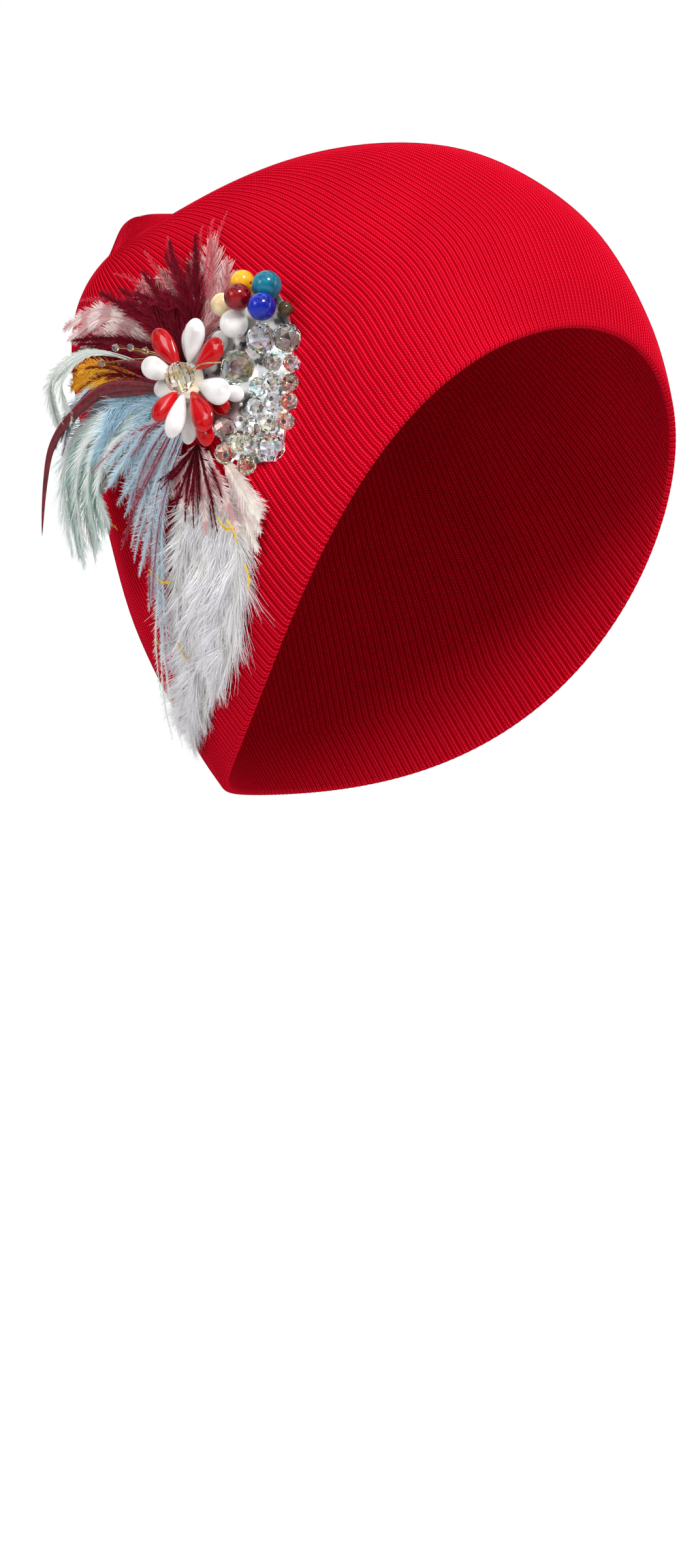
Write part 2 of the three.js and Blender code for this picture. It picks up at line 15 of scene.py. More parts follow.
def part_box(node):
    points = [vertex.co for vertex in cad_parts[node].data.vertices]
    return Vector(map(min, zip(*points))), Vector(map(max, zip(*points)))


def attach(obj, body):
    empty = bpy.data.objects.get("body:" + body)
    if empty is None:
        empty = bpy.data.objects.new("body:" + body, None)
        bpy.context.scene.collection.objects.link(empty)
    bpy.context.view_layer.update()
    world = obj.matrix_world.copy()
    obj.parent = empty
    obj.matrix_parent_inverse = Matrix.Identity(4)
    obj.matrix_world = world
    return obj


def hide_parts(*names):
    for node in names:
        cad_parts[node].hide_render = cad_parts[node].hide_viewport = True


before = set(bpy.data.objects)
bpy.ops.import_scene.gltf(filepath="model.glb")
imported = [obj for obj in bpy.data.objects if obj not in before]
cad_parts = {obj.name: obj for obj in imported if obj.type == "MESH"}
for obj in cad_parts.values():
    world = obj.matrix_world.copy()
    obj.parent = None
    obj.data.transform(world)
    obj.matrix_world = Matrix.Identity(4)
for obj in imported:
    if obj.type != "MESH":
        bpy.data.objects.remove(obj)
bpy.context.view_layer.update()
MM = 0.001

# ---------------------------------------------------------------------------------------------------
# The knit cap. It is a tube of crimson one-by-one rib knit, gathered at the crown and rolled at the rim.
# Its rings fan from the rim to the crown tip, and each rib runs across them from the rim to the tip.

# Each row is one ring, in millimetres: its point over the brow and its point over the nape, as y and z, its
# half width, how far its sides hang towards the face, how much of that lies towards the nape, and its
# widening at the brow.
CAP_RINGS = [
    {"front": (-103.5, -6), "back": (65, -153.5), "reach": 70.5, "dip": 26.5, "late": 0.5, "taper": 0.2},
    {"front": (-98.5, 11), "back": (84, -132), "reach": 72.5, "dip": 24, "late": 0.4, "taper": 0.15},
    {"front": (-85.5, 32), "back": (98.5, -102), "reach": 75.5, "dip": 18, "late": 0.2, "taper": 0},
    {"front": (-60.5, 49), "back": (109, -68), "reach": 76, "dip": 13, "late": 0.1, "taper": -0.03},
    {"front": (-32, 60), "back": (115, -36), "reach": 76, "dip": 8.5, "late": 0, "taper": -0.08},
    {"front": (5, 63.5), "back": (119, -11.5), "reach": 69, "dip": 6.5, "late": -0.1, "taper": -0.1},
    {"front": (41, 57), "back": (120, 8), "reach": 57, "dip": 4.5, "late": -0.2, "taper": -0.08},
    {"front": (71, 51), "back": (117, 19.5), "reach": 42, "dip": -0.5, "late": -0.2, "taper": 0},
    {"front": (93.5, 53), "back": (113.5, 32), "reach": 28, "dip": -6, "late": -0.2, "taper": 0.1},
    {"front": (107.5, 55), "back": (108, 41), "reach": 15, "dip": -8, "late": -0.2, "taper": 0.15},
    {"front": (113.5, 53), "back": (114, 43.5), "reach": 8, "dip": -2.5, "late": 0, "taper": 0},
]
CAP_WALL = 2.6
RIBS, RIB_POINTS = 256, 4
RIB_HEIGHT = 0.5
STITCH_LENGTH = 1.0
# Shares of a turn by which the ribs lean towards the brow at the rim, and back again half way up.
RIB_SWING, RIB_BEND = 0.05, 0.011
# How high the ribs and their bends reach, as a share of the way from the rim to the crown tip.
SWING_REACH, BEND_REACH = 0.7, 0.8
INNER_ROWS, HEM_ROWS, OUTER_ROWS = 12, 6, 76
# How much of their height the ribs keep inside, at the rim's two edges and on the rolled hem.
INNER_SHARE, RIM_SHARE, HEM_SHARE = 0.6, 0.3, 0.2
SHARE_GROWTH = 18
# The inner face stops short of the crown tip, and the rim's edge points down the last of the outer face.
INNER_TOP, RIM_STEP = 0.995, 0.02
LEAST_GAP = 0.0005
# How far apart two places are compared to find the way that the knit faces.
NEAR_T, NEAR_TURN = 0.002, 0.001


def smooth_column(values, t):
    """A smooth value at each t from 0 to 1 through equally spaced rows of numbers."""
    rows = np.asarray(values, float)
    last = len(rows) - 1
    at = np.clip(t * last, 0, last - 1e-9)
    i = np.floor(at).astype(int)
    f = at - i
    before, here = rows[np.maximum(i - 1, 0)], rows[i]
    after, beyond = rows[i + 1], rows[np.minimum(i + 2, last)]
    start_slope, end_slope = (after - before) / 2, (beyond - here) / 2
    rise = after - here
    square = 3 * rise - 2 * start_slope - end_slope
    cube = start_slope + end_slope - 2 * rise
    return here + f * (start_slope + f * (square + f * cube))


def cap_point(turn, t):
    """Points of the cap's face, in millimetres. Turn is 0 over the brow and 0.75 on the wearer's right, and
    t runs from 0 at the rim to 1 at the crown tip."""
    turn, t = np.broadcast_arrays(np.asarray(turn, float), np.asarray(t, float))
    front_y, front_z, back_y, back_z = (
        smooth_column([ring[end][axis] for ring in CAP_RINGS], t)
        for end in ("front", "back")
        for axis in (0, 1)
    )
    reach, dip, late, taper = (
        smooth_column([ring[name] for ring in CAP_RINGS], t) for name in ("reach", "dip", "late", "taper")
    )
    half_y, half_z = (front_y - back_y) / 2, (front_z - back_z) / 2
    long = np.hypot(half_y, half_z)
    ahead, aside = np.cos(turn * 2 * np.pi), np.sin(turn * 2 * np.pi)
    drop = dip * aside**2 * (1 - late * ahead)
    x = reach * aside * (1 + taper * ahead)
    y = (front_y + back_y) / 2 + half_y * ahead - half_z / long * drop
    z = (front_z + back_z) / 2 + half_z * ahead + half_y / long * drop
    return np.stack([x, y, z], -1)


def unit(vectors):
    """The directions of vectors."""
    return vectors / np.maximum(np.linalg.norm(vectors, axis=-1, keepdims=True), 1e-9)


def cap_normal(turn, t):
    """The outward direction of the cap's face."""
    inside = np.clip(t, NEAR_T, 1 - NEAR_T)
    along = cap_point(turn, inside + NEAR_T) - cap_point(turn, inside - NEAR_T)
    around = cap_point(np.add(turn, NEAR_TURN), inside) - cap_point(np.subtract(turn, NEAR_TURN), inside)
    return unit(np.cross(around, along))


def grid_form(points, closed_around):
    """A form, as points and faces, through a grid of points whose columns may close round into a tube."""
    rows, columns = points.shape[:2]
    ids = np.arange(rows * columns).reshape(rows, columns)
    if closed_around:
        ids = np.concatenate([ids, ids[:, :1]], axis=1)
    faces = np.stack([ids[:-1, :-1], ids[:-1, 1:], ids[1:, 1:], ids[1:, :-1]], -1).reshape(-1, 4)
    return points.reshape(-1, 3), faces.tolist()


def form_mesh(name, points, faces, smooth=True):
    """A mesh from a form in millimetres."""
    mesh = bpy.data.meshes.new(name)
    mesh.from_pydata((np.asarray(points) * MM).tolist(), [], faces)
    mesh.polygons.foreach_set("use_smooth", [smooth] * len(mesh.polygons))
    return mesh


def close_poles(mesh, turn_outward=False):
    """Merges the points that meet at a pole or a seam, and can turn the faces of closed forms outwards."""
    work = bmesh.new()
    work.from_mesh(mesh)
    bmesh.ops.remove_doubles(work, verts=work.verts, dist=LEAST_GAP * MM)
    if turn_outward:
        bmesh.ops.recalc_face_normals(work, faces=work.faces)
    work.to_mesh(mesh)
    work.free()
    return mesh


def add_piece(mesh, material, slot, *stands_for):
    """Puts a finished mesh in the scene, on the hat's one body."""
    piece = bpy.data.objects.new(mesh.name, mesh)
    bpy.context.scene.collection.objects.link(piece)
    if material.name not in mesh.materials:
        mesh.materials.append(material)
    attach(piece, "root")
    if stands_for:
        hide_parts(*stands_for)
    return piece


class Tree:
    """A tree of nodes that is written step by step."""

    def __init__(self, tree):
        self.tree = tree

    def feed(self, socket, value):
        """Links an output to a socket, or sets the socket to a plain value."""
        if isinstance(value, bpy.types.NodeSocket):
            self.tree.links.new(value, socket)
        elif value is not None:
            socket.default_value = value

    def step(self, kind, *values, out=0, **settings):
        """Adds a node, feeds its inputs in order, and gives one of its outputs."""
        node = self.tree.nodes.new(kind)
        for key, value in settings.items():
            setattr(node, key, value)
        open_inputs = [socket for socket in node.inputs if socket.enabled]
        for socket, value in zip(open_inputs, values):
            self.feed(socket, value)
        if isinstance(out, str):
            return node.outputs[out]
        return [socket for socket in node.outputs if socket.enabled][out]

    def number(self, operation, *values, clamp=False):
        return self.step("ShaderNodeMath", *values, operation=operation, use_clamp=clamp)

    def chain(self, operation, first, *others):
        """Takes numbers together two by two, from the first on."""
        for other in others:
            first = self.number(operation, first, other)
        return first

    def plus(self, *values):
        return self.chain("ADD", *values)

    def minus(self, *values):
        return self.chain("SUBTRACT", *values)

    def times(self, *values):
        return self.chain("MULTIPLY", *values)

    def blend(self, share, first, second, way="MIX"):
        """Two colours in one, mixed by the second's share or multiplied."""
        return self.step("ShaderNodeMix", share, first, second, data_type="RGBA", blend_type=way)

    def ramp(self, factor, *stops):
        """A colour that runs through stops, each a place from 0 to 1 and a colour."""
        colour = self.step("ShaderNodeValToRGB", factor)
        elements = colour.node.color_ramp.elements
        while len(elements) < len(stops):
            elements.new(1.0)
        for element, (place, tone) in zip(elements, stops):
            element.position = place
            element.color = (*tone, 1)
        return colour

    def socket(self, label, kind, value=None, way="INPUT"):
        """Gives the tree an input or an output of its own."""
        socket = self.tree.interface.new_socket(label, in_out=way, socket_type=f"NodeSocket{kind}")
        if value is not None:
            socket.default_value = value
        return socket.identifier

    def close(self, *values):
        """Ends the tree with what its outputs give, in order."""
        target = self.tree.nodes.new("NodeGroupOutput")
        for socket, value in zip(target.inputs, values):
            self.feed(socket, value)
        return self.tree


class Recipe(Tree):
    """A Geometry Nodes tree that is run on a mesh. Its inputs are given by name with their usual values."""

    def __init__(self, name, **inputs):
        super().__init__(bpy.data.node_groups.new(name, "GeometryNodeTree"))
        self.socket("Geometry", "Geometry")
        self.sockets = {}
        for label, value in inputs.items():
            kind = {int: "Int", float: "Float"}.get(type(value), "Material")
            self.sockets[label] = self.socket(label.replace("_", " "), kind, value)
        self.socket("Geometry", "Geometry", way="OUTPUT")
        self.inputs = self.tree.nodes.new("NodeGroupInput").outputs

    def vector(self, operation, *values):
        return self.step("ShaderNodeVectorMath", *values, operation=operation)

    def scaled(self, direction, factor):
        return self.vector("SCALE", direction, factor)

    def sum(self, *vectors):
        total = vectors[0]
        for part in vectors[1:]:
            total = self.vector("ADD", total, part)
        return total

    def attribute(self, name, kind="FLOAT"):
        return self.step("GeometryNodeInputNamedAttribute", name, data_type=kind)

    def store(self, geometry, name, value, kind="FLOAT", domain="POINT"):
        return self.step(
            "GeometryNodeStoreNamedAttribute", geometry, None, name, value, data_type=kind, domain=domain
        )

    def join(self, *geometries):
        node = self.tree.nodes.new("GeometryNodeJoinGeometry")
        for geometry in geometries:
            self.tree.links.new(geometry, node.inputs[0])
        return node.outputs[0]

    def finish(self, geometry, material):
        """Ends the tree: everything is made real and takes its material."""
        real = self.step("GeometryNodeRealizeInstances", geometry)
        self.close(self.step("GeometryNodeSetMaterial", real, None, material))

    def run(self, name, mesh, **settings):
        """Runs the tree on a mesh with its inputs set, and gives the result as a plain mesh."""
        carrier = bpy.data.objects.new(name, mesh)
        bpy.context.scene.collection.objects.link(carrier)
        modifier = carrier.modifiers.new(self.tree.name, "NODES")
        modifier.node_group = self.tree
        for label, value in settings.items():
            modifier[self.sockets[label]] = value
        bpy.context.view_layer.update()
        evaluated = carrier.evaluated_get(bpy.context.evaluated_depsgraph_get())
        result = bpy.data.meshes.new_from_object(evaluated)
        carrier.modifiers.remove(modifier)
        bpy.data.objects.remove(carrier)
        bpy.data.meshes.remove(mesh)
        result.name = name
        return result


class Finish(Tree):
    """A material that is built up on its Principled shader, whose plain values are given first."""

    def __init__(self, name, **look):
        self.material = bpy.data.materials.new(name)
        self.material.use_nodes = True
        super().__init__(self.material.node_tree)
        self.set(**look)

    def set(self, **look):
        """Feeds the shader's inputs, which are given by name, and gives the material."""
        shader = self.tree.nodes["Principled BSDF"]
        for label, value in look.items():
            self.feed(shader.inputs[label.replace("_", " ")], value)
        return self.material

    def noise(self, scale, detail=2.0):
        """Uneven marks over the piece, so many to the metre."""
        place = self.step("ShaderNodeTexCoord", out="Object")
        return self.step("ShaderNodeTexNoise", place, scale, detail)

    def attribute(self, name, out="Fac"):
        return self.step("ShaderNodeAttribute", attribute_name=name, out=out)

    def spread(self, factor, low, high):
        """Stretches a 0 to 1 mask to run from low to high."""
        return self.step("ShaderNodeMapRange", factor, None, None, low, high)

    def relief(self, height, strength, depth, under=None):
        """Raises a height mask by so many metres, over another relief where there is one."""
        return self.step("ShaderNodeBump", strength, depth, None, height, under)


def rib_turn(turn, t):
    """Where a rib runs at t. Towards the rim the ribs swing forward, so that they meet it squarely."""
    swing = RIB_SWING * (1 - t / SWING_REACH).clip(0) ** 2
    bend = RIB_BEND * np.sin(np.pi * (t / BEND_REACH).clip(0, 1)) ** 2
    return turn - (swing - bend) * np.sin(turn * 2 * np.pi) * (1 + np.cos(turn * 2 * np.pi)) / 2


def cap_mesh():
    """The plain wall of the cap: inside from crown to rim, round the rolled hem and outside to the crown."""
    columns = RIBS * RIB_POINTS
    turns = (np.arange(columns) / columns)[None, :]
    inner_t = np.linspace(INNER_TOP, 0, INNER_ROWS)[:, None]
    inner_turn = rib_turn(turns, inner_t)
    inner = cap_point(inner_turn, inner_t) - cap_normal(inner_turn, inner_t) * CAP_WALL
    outer_t = np.linspace(0, 1, OUTER_ROWS)[:, None]
    outer = cap_point(rib_turn(turns, outer_t), outer_t)
    rim = np.zeros((1, 1))
    rim_turn = rib_turn(turns, rim)
    rim_out = cap_normal(rim_turn, rim) * (CAP_WALL / 2)
    rim_down = unit(cap_point(rim_turn, rim) - cap_point(rim_turn, rim + RIM_STEP)) * (CAP_WALL / 2)
    roll = np.linspace(0, np.pi, HEM_ROWS + 2)[1:-1, None, None]
    hem = cap_point(rim_turn, rim) - rim_out - rim_out * np.cos(roll) + rim_down * np.sin(roll)
    crown_inside = np.repeat(inner[:1].mean(axis=1, keepdims=True), columns, axis=1)
    crown_outside = np.repeat(outer[-1:].mean(axis=1, keepdims=True), columns, axis=1)
    points = np.concatenate([crown_inside, inner, hem, outer, crown_outside])
    mesh = form_mesh("ribbed_cap", *grid_form(points, True))
    add_knit_map(mesh, points)
    outer_share = np.minimum(1, RIM_SHARE + outer_t[:, 0] * SHARE_GROWTH)
    shares = [np.full(INNER_ROWS, INNER_SHARE), [RIM_SHARE], np.full(HEM_ROWS, HEM_SHARE), outer_share, [1]]
    ribs_along = np.tile(np.arange(columns) / RIB_POINTS, len(points))
    for name, values in (("rib_at", ribs_along), ("rib_share", np.repeat(np.concatenate(shares), columns))):
        layer = mesh.attributes.new(name, "FLOAT", "POINT")
        layer.data.foreach_set("value", values.astype(np.float32))
    return close_poles(mesh)


def add_knit_map(mesh, points):
    """Maps the stitches: across, a half on each rib's ridge and a whole step to the next rib, and along, one
    step for each stitch, the same number on every rib from crown to crown."""
    steps = np.linalg.norm(np.diff(points, axis=0), axis=-1)
    run = np.concatenate([np.zeros((1, points.shape[1])), np.cumsum(steps, axis=0)])
    crown_run = run[-2]
    shared = run - (crown_run - np.mean(crown_run))[None, :] * (run / crown_run[None, :])
    rows, columns = run.shape
    u = (np.arange(columns + 1)[None, :] / RIB_POINTS + 0.5) * np.ones((rows, 1))
    v = np.concatenate([shared, shared[:, :1]], axis=1) / STITCH_LENGTH
    grid = np.stack([u, v], -1)
    corners = np.stack([grid[:-1, :-1], grid[:-1, 1:], grid[1:, 1:], grid[1:, :-1]], 2)
    layer = mesh.uv_layers.new(name="knit")
    layer.data.foreach_set("uv", corners.reshape(-1).astype(np.float32))


def knit_recipe():
    """Raises the ribs of a plain wall: rounded ridges with hollows between them, flattest at the hem."""
    recipe = Recipe("rib knit", Rib_Height=RIB_HEIGHT * MM, Unevenness=0.2, Material=None)
    wall, height, unevenness, material = (recipe.inputs[i] for i in range(4))
    plus, minus, times = recipe.plus, recipe.minus, recipe.times
    across = recipe.number("FRACT", recipe.attribute("rib_at"))
    towards_ridge = times(recipe.number("ABSOLUTE", minus(across, 0.5)), 2.0)
    ridge = minus(0.75, recipe.number("POWER", minus(1.0, towards_ridge), 1.4))
    slow = recipe.step("ShaderNodeTexNoise", recipe.step("GeometryNodeInputPosition"), 60.0, 2.0, 0.5)
    wobble = times(minus(slow, 0.5), unevenness)
    lift = times(plus(ridge, wobble), height, recipe.attribute("rib_share"))
    away = recipe.scaled(recipe.step("GeometryNodeInputNormal"), lift)
    recipe.finish(recipe.step("GeometryNodeSetPosition", wall, None, None, away), material)
    return recipe


def stitch_group():
    """The stitches of the knit from its own map. Each rib has a ridge of stitches with two legs, a groove
    between the legs and a hollow on each side. Besides the height, it gives the ridge mask for the painted
    shade in the hollows and the leg mask for the painted highlight."""
    group = Tree(bpy.data.node_groups.new("knit stitches", "ShaderNodeTree"))
    group.socket("Map", "Vector")
    for label in ("Height", "Ridge", "Bright"):
        group.socket(label, "Float", way="OUTPUT")
    number, plus, minus, times = group.number, group.plus, group.minus, group.times
    place = group.step("NodeGroupInput")
    across, along = (group.step("ShaderNodeSeparateXYZ", place, out=out) for out in ("X", "Y"))
    # Off is 0 on a rib's ridge and 1 in the hollow. Each stitch bulges once, slanting back off the ridge.
    off = times(number("ABSOLUTE", minus(number("FRACT", across), 0.5)), 2.0)
    slant = plus(along, times(off, 0.9))
    bulge = number("ABSOLUTE", number("SINE", times(slant, math.pi)))
    ridge = minus(1.0, number("POWER", off, 1.5))
    groove = times(number("POWER", minus(1.0, off), 8.0), -0.5)
    height = plus(times(bulge, plus(ridge, 0.35)), groove)
    # The legs of each stitch take a painted highlight, strongest where the stitch bulges.
    from_leg = number("ABSOLUTE", minus(off, 0.42))
    leg = minus(1.0, number("MINIMUM", times(from_leg, 5.0), 1.0))
    return group.close(height, ridge, times(leg, number("POWER", bulge, 0.7)))


def knit_material():
    """Crimson yarn, with painted shade that deepens it in the hollows between the ribs and a painted
    highlight on the legs of the stitches.
    """
    knit = Finish("crimson rib knit", Roughness=0.9, Specular_IOR_Level=0.0)
    knit.set(Sheen_Weight=0.03, Sheen_Roughness=0.5, Sheen_Tint=(1.0, 0.02, 0.06, 1))
    knit_map = knit.step("ShaderNodeUVMap", uv_map="knit")
    height = knit.step("ShaderNodeGroup", knit_map, node_tree=stitch_group())
    ridge, painted_highlight = (height.node.outputs[label] for label in ("Ridge", "Bright"))
    # Painted shade: the yarn is darkest in the hollows and palest on the ridges. Painted highlight: a pale
    # coral on the stitch legs.
    tone = knit.ramp(ridge, (0.0, (0.32, 0.0, 0.003)), (0.5, (0.49, 0.0, 0.008)), (1.0, (0.56, 0.0, 0.012)))
    shaded_and_highlighted = knit.blend(knit.spread(painted_highlight, 0.0, 0.9), tone, (1.0, 0.034, 0.085, 1))
    patches = knit.spread(knit.noise(28), 0.86, 1.12)
    uneven = knit.step("ShaderNodeHueSaturation", None, None, patches, None, shaded_and_highlighted)
    stitched = knit.relief(height, 0.8, 0.35 * MM)
    fuzzy = knit.relief(knit.noise(1400, 3.0), 0.3, 0.15 * MM, stitched)
    return knit.set(Base_Color=uneven, Normal=fuzzy)


knit = knit_material()
cap = knit_recipe().run("ribbed_cap", cap_mesh(), Material=knit)
add_piece(cap, knit, "red_knit", "knit_cap")

# ---------------------------------------------------------------------------------------------------
# The brooch plate. It is a kidney of silver sheet sewn to the knit over the temple, with a short post and
# dish for the flower. Its axes, used for everything on it, are x forward to the face, y up and z out.

# Bearings are degrees round the head from the wearer's right towards the back, about the head's middle.
BROOCH_BEARING, BROOCH_HEIGHT = -18.3, -25
BROOCH_FACES = {"bearing": -14, "rise": 5}
HEAD_MIDDLE_Y = 10
RIGHT_TURN = 0.75
# A place on the knit is sought in so many steps, each held short, from a first guess.
SEEK_STEPS, SEEK_GAP = 12, 1e-4
FIRST_T, LOWEST_T, HIGHEST_T = 0.35, 0.002, 0.98
LONGEST_MOVE, LONGEST_RISE = 0.05, 0.1


def cap_where(measure, wanted, turn):
    """The turn and t of the places on the cap where two measures of a point have the wanted values."""
    turn, t = np.array(turn, float), np.full(np.shape(turn), FIRST_T)
    for _ in range(SEEK_STEPS):
        here = measure(cap_point(turn, t))
        by_turn = (measure(cap_point(turn + SEEK_GAP, t)) - here) / SEEK_GAP
        by_t = (measure(cap_point(turn, t + SEEK_GAP)) - here) / SEEK_GAP
        miss = wanted - here
        scale = by_turn[..., 0] * by_t[..., 1] - by_t[..., 0] * by_turn[..., 1]
        move = (by_t[..., 1] * miss[..., 0] - by_t[..., 0] * miss[..., 1]) / scale
        rise = (by_turn[..., 0] * miss[..., 1] - by_turn[..., 1] * miss[..., 0]) / scale
        turn = turn + np.clip(move, -LONGEST_MOVE, LONGEST_MOVE)
        t = np.clip(t + np.clip(rise, -LONGEST_RISE, LONGEST_RISE), LOWEST_T, HIGHEST_T)
    return turn, t


def over_cap(bearing, height, lift):
    """Points over the knit, by bearing, height and lift off the knit, and the outward direction there."""
    bearing, height, lift = np.broadcast_arrays(*(np.asarray(v, float) for v in (bearing, height, lift)))

    def measure(points):
        round_head = np.degrees(np.arctan2(points[..., 1] - HEAD_MIDDLE_Y, -points[..., 0]))
        return np.stack([round_head, points[..., 2]], -1)

    turn, t = cap_where(measure, np.stack([bearing, height], -1), RIGHT_TURN - bearing / 360)
    normal = cap_normal(turn, t)
    return cap_point(turn, t) + normal * lift[..., None], normal


facing, rise = (math.radians(BROOCH_FACES[name]) for name in ("bearing", "rise"))
BROOCH_OUT = unit(np.array([-math.cos(facing), math.sin(facing), math.tan(rise)]))
BROOCH_UP = unit(np.array([0, 0, 1]) - BROOCH_OUT * BROOCH_OUT[2])
BROOCH_FORWARD = np.cross(BROOCH_UP, BROOCH_OUT)
BROOCH_MIDDLE = over_cap(BROOCH_BEARING, BROOCH_HEIGHT, 0)[0]


def on_brooch(x, y, z):
    """A point by the brooch's own axes."""
    return BROOCH_MIDDLE + x * BROOCH_FORWARD + y * BROOCH_UP + z * BROOCH_OUT


def brooch_direction(x, y, z):
    """A direction by the brooch's own axes."""
    return unit(x * BROOCH_FORWARD + y * BROOCH_UP + z * BROOCH_OUT)


def node_points(name):
    """The corners of one of the model's solids, in millimetres."""
    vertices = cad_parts[name].data.vertices
    flat = np.empty(len(vertices) * 3, np.float32)
    vertices.foreach_get("co", flat)
    return flat.reshape(-1, 3) / MM


def worn_silver():
    """Silver plate with dull patches and fine scratches."""
    silver = Finish("worn silver", Metallic=0.8)
    wear = silver.noise(220, 4.0)
    polished = silver.ramp(wear, (0.38, (0.10, 0.10, 0.10)), (0.48, (0.72, 0.71, 0.70)))
    scratches = silver.relief(silver.noise(2600, 2.0), 0.25, 0.05 * MM)
    return silver.set(Base_Color=polished, Roughness=silver.spread(wear, 0.18, 0.5), Normal=scratches)


silver = worn_silver()
# The plate, its post and its dish are shown as their solid is.
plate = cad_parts["brooch_plate"]
plate.data.materials.clear()
plate.data.materials.append(silver)

# ---------------------------------------------------------------------------------------------------
# The flower's petals. Each is a drop of polished glass, red or pearly white, that lies round the middle of
# the flower; the real petals are drilled at their narrow root and wired there, but no hole or wire is made
# here. The upper eight lie on the dish and the others on the plate.

# Each petal's direction round the flower from forward, its tilt outwards, both in degrees, and its width.
RED_PETALS = {
    "petal_red_front_up": (36, 7, 8.6),
    "petal_red_rear_up": (128, 7, 8),
    "petal_red_rear_low": (228, 7, 7.6),
    "petal_red_low": (304, 7, 8.8),
    "petal_red_low_under": (291, 5, 7.6),
    "petal_red_front_under": (324, 5, 7),
}
WHITE_PETALS = {
    "petal_white_up": (77, 7, 8.8),
    "petal_white_rear": (161, 7, 7.8),
    "petal_white_low": (259, 7, 8),
    "petal_white_front": (340, 7, 8.8),
    "petal_white_up_under": (98, 5, 7.6),
    "petal_white_rear_under": (186, 5, 7.2),
    "petal_white_low_under": (269, 5, 7.2),
    "petal_white_front_under": (343, 5, 5.4),
    "petal_pink_up_under": (52, 5, 7.4),
}
PETAL_ROWS, PETAL_SIDES = 26, 24
PETAL_THICKNESS, PETAL_ROOT_THICKNESS = 3.4, 2.2


def turns_round(sides):
    """Equal angles round a circle, in radians."""
    return np.arange(sides) / sides * 2 * np.pi


def petal_form(name, angle, rise, width):
    """A petal's skin from its root to its tip, where its solid lies."""
    turn, tilt = math.radians(angle), math.radians(rise)
    flat = math.cos(tilt)
    ahead = brooch_direction(math.cos(turn) * flat, math.sin(turn) * flat, math.sin(tilt))
    aside = brooch_direction(-math.sin(turn), math.cos(turn), 0)
    outward = np.cross(ahead, aside)
    corners = node_points(name)
    reach = corners @ ahead
    root, tip = corners[reach.argmin()], corners[reach.argmax()]
    s = ((1 - np.cos(np.linspace(0, np.pi, PETAL_ROWS))) / 2)[:, None, None]
    around = turns_round(PETAL_SIDES)[None, :, None]
    # A drop, narrow at its root and fullest past its middle, with both ends rounded off.
    fullness = np.sqrt(np.sin(np.pi * s**1.25).clip(0)) * (0.72 + 0.42 * s)
    body = (PETAL_THICKNESS - PETAL_ROOT_THICKNESS) * np.sin(np.pi * s)
    ends = np.minimum(1, 2.2 * np.sqrt(1 - s)) * np.minimum(1, 4.5 * np.sqrt(s))
    thickness = (PETAL_ROOT_THICKNESS + body) * ends
    middle = root + (tip - root) * s
    skin = middle + aside * np.cos(around) * width * fullness / 2 + outward * np.sin(around) * thickness / 2
    return grid_form(skin, True)


def joined_form(forms):
    """Several forms as one, with their faces numbered on."""
    points, faces, first = [], [], 0
    for form_points, form_faces in forms:
        points.append(np.asarray(form_points))
        faces.extend([tuple(first + corner for corner in face) for face in form_faces])
        first += len(form_points)
    return np.concatenate(points), faces


def closed_mesh(name, *forms, smooth=True):
    """One mesh of closed forms, with their faces turned outwards."""
    return close_poles(form_mesh(name, *joined_form(forms), smooth), turn_outward=True)


def petal_glass(name, deep, clear, cloud):
    """Polished glass with soft streaks of a paler tint inside it."""
    glass = Finish(name, IOR=1.55, Coat_Weight=0.7, Coat_Roughness=0.02, Specular_IOR_Level=0.1)
    glass.set(Subsurface_Weight=0.15, Subsurface_Scale=2 * MM, Subsurface_Radius=(1.0, 0.6, 0.5))
    streaks = glass.noise(190, 1.5)
    colour = glass.ramp(streaks, (0.3, deep), (0.52, clear), (0.72, cloud))
    ripple = glass.relief(glass.noise(330, 1.0), 0.12, 0.3 * MM)
    return glass.set(Base_Color=colour, Roughness=glass.spread(streaks, 0.04, 0.16), Normal=ripple)


RED_TONES = [(0.30, 0.0, 0.002), (0.50, 0.0, 0.003), (0.60, 0.003, 0.008)]
WHITE_TONES = [(0.60, 0.55, 0.54), (0.76, 0.73, 0.72), (0.84, 0.82, 0.81)]
for colour, tones, petals in (("red", RED_TONES, RED_PETALS), ("white", WHITE_TONES, WHITE_PETALS)):
    glass = petal_glass(f"{colour} petal glass", *tones)
    forms = [petal_form(petal, *sizes) for petal, sizes in petals.items()]
    add_piece(closed_mesh(f"{colour}_glass_petals", *forms), glass, f"{colour}_glass", *petals)

# ---------------------------------------------------------------------------------------------------
# The champagne bead in the middle of the flower. It is a round glass bead cut with bands of small
# rectangular facets, and a brass wire from it holds the big crystal beside it.

CENTRE_FACETS, CENTRE_BANDS = 12, 7
CENTRE_HOLE, HOLE_EDGE = 0.9, 0.15
CENTRE_SEED = 3
WIRE_THICKNESS, WIRE_BOW = 0.55, 1.4
WIRE_POINTS, WIRE_SIDES = 16, 8
# The cut faces of the glass show one of these colours each: champagne, gold, near-white, and a dark brown
# that is a painted dark reflection.
CENTRE_TINTS_AND_REFLECTIONS = np.array([
    (1.0, 0.96, 0.80), (1.0, 0.96, 0.80), (0.95, 0.78, 0.42), (0.40, 0.28, 0.14), (1.0, 1.0, 0.96)
])
# A direction that no bead's hole follows.
ASKEW = (0.31, 0.47, 0.83)


def turned_form(centre, axis, profile, sides):
    """A form turned round an axis from a profile of (radius, height) rows."""
    profile = np.asarray(profile, float)
    aside = unit(np.cross(axis, ASKEW))
    other = np.cross(axis, aside)
    around = turns_round(sides)[None, :, None]
    spoke = aside * np.cos(around) + other * np.sin(around)
    skin = centre + axis * profile[:, None, 1:] + spoke * profile[:, None, :1]
    return grid_form(skin, True)


def centre_and_size(name):
    """The middle of a bead's solid, and its diameter, in millimetres."""
    low, high = (np.array(corner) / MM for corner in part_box(name))
    return (low + high) / 2, max(high - low)


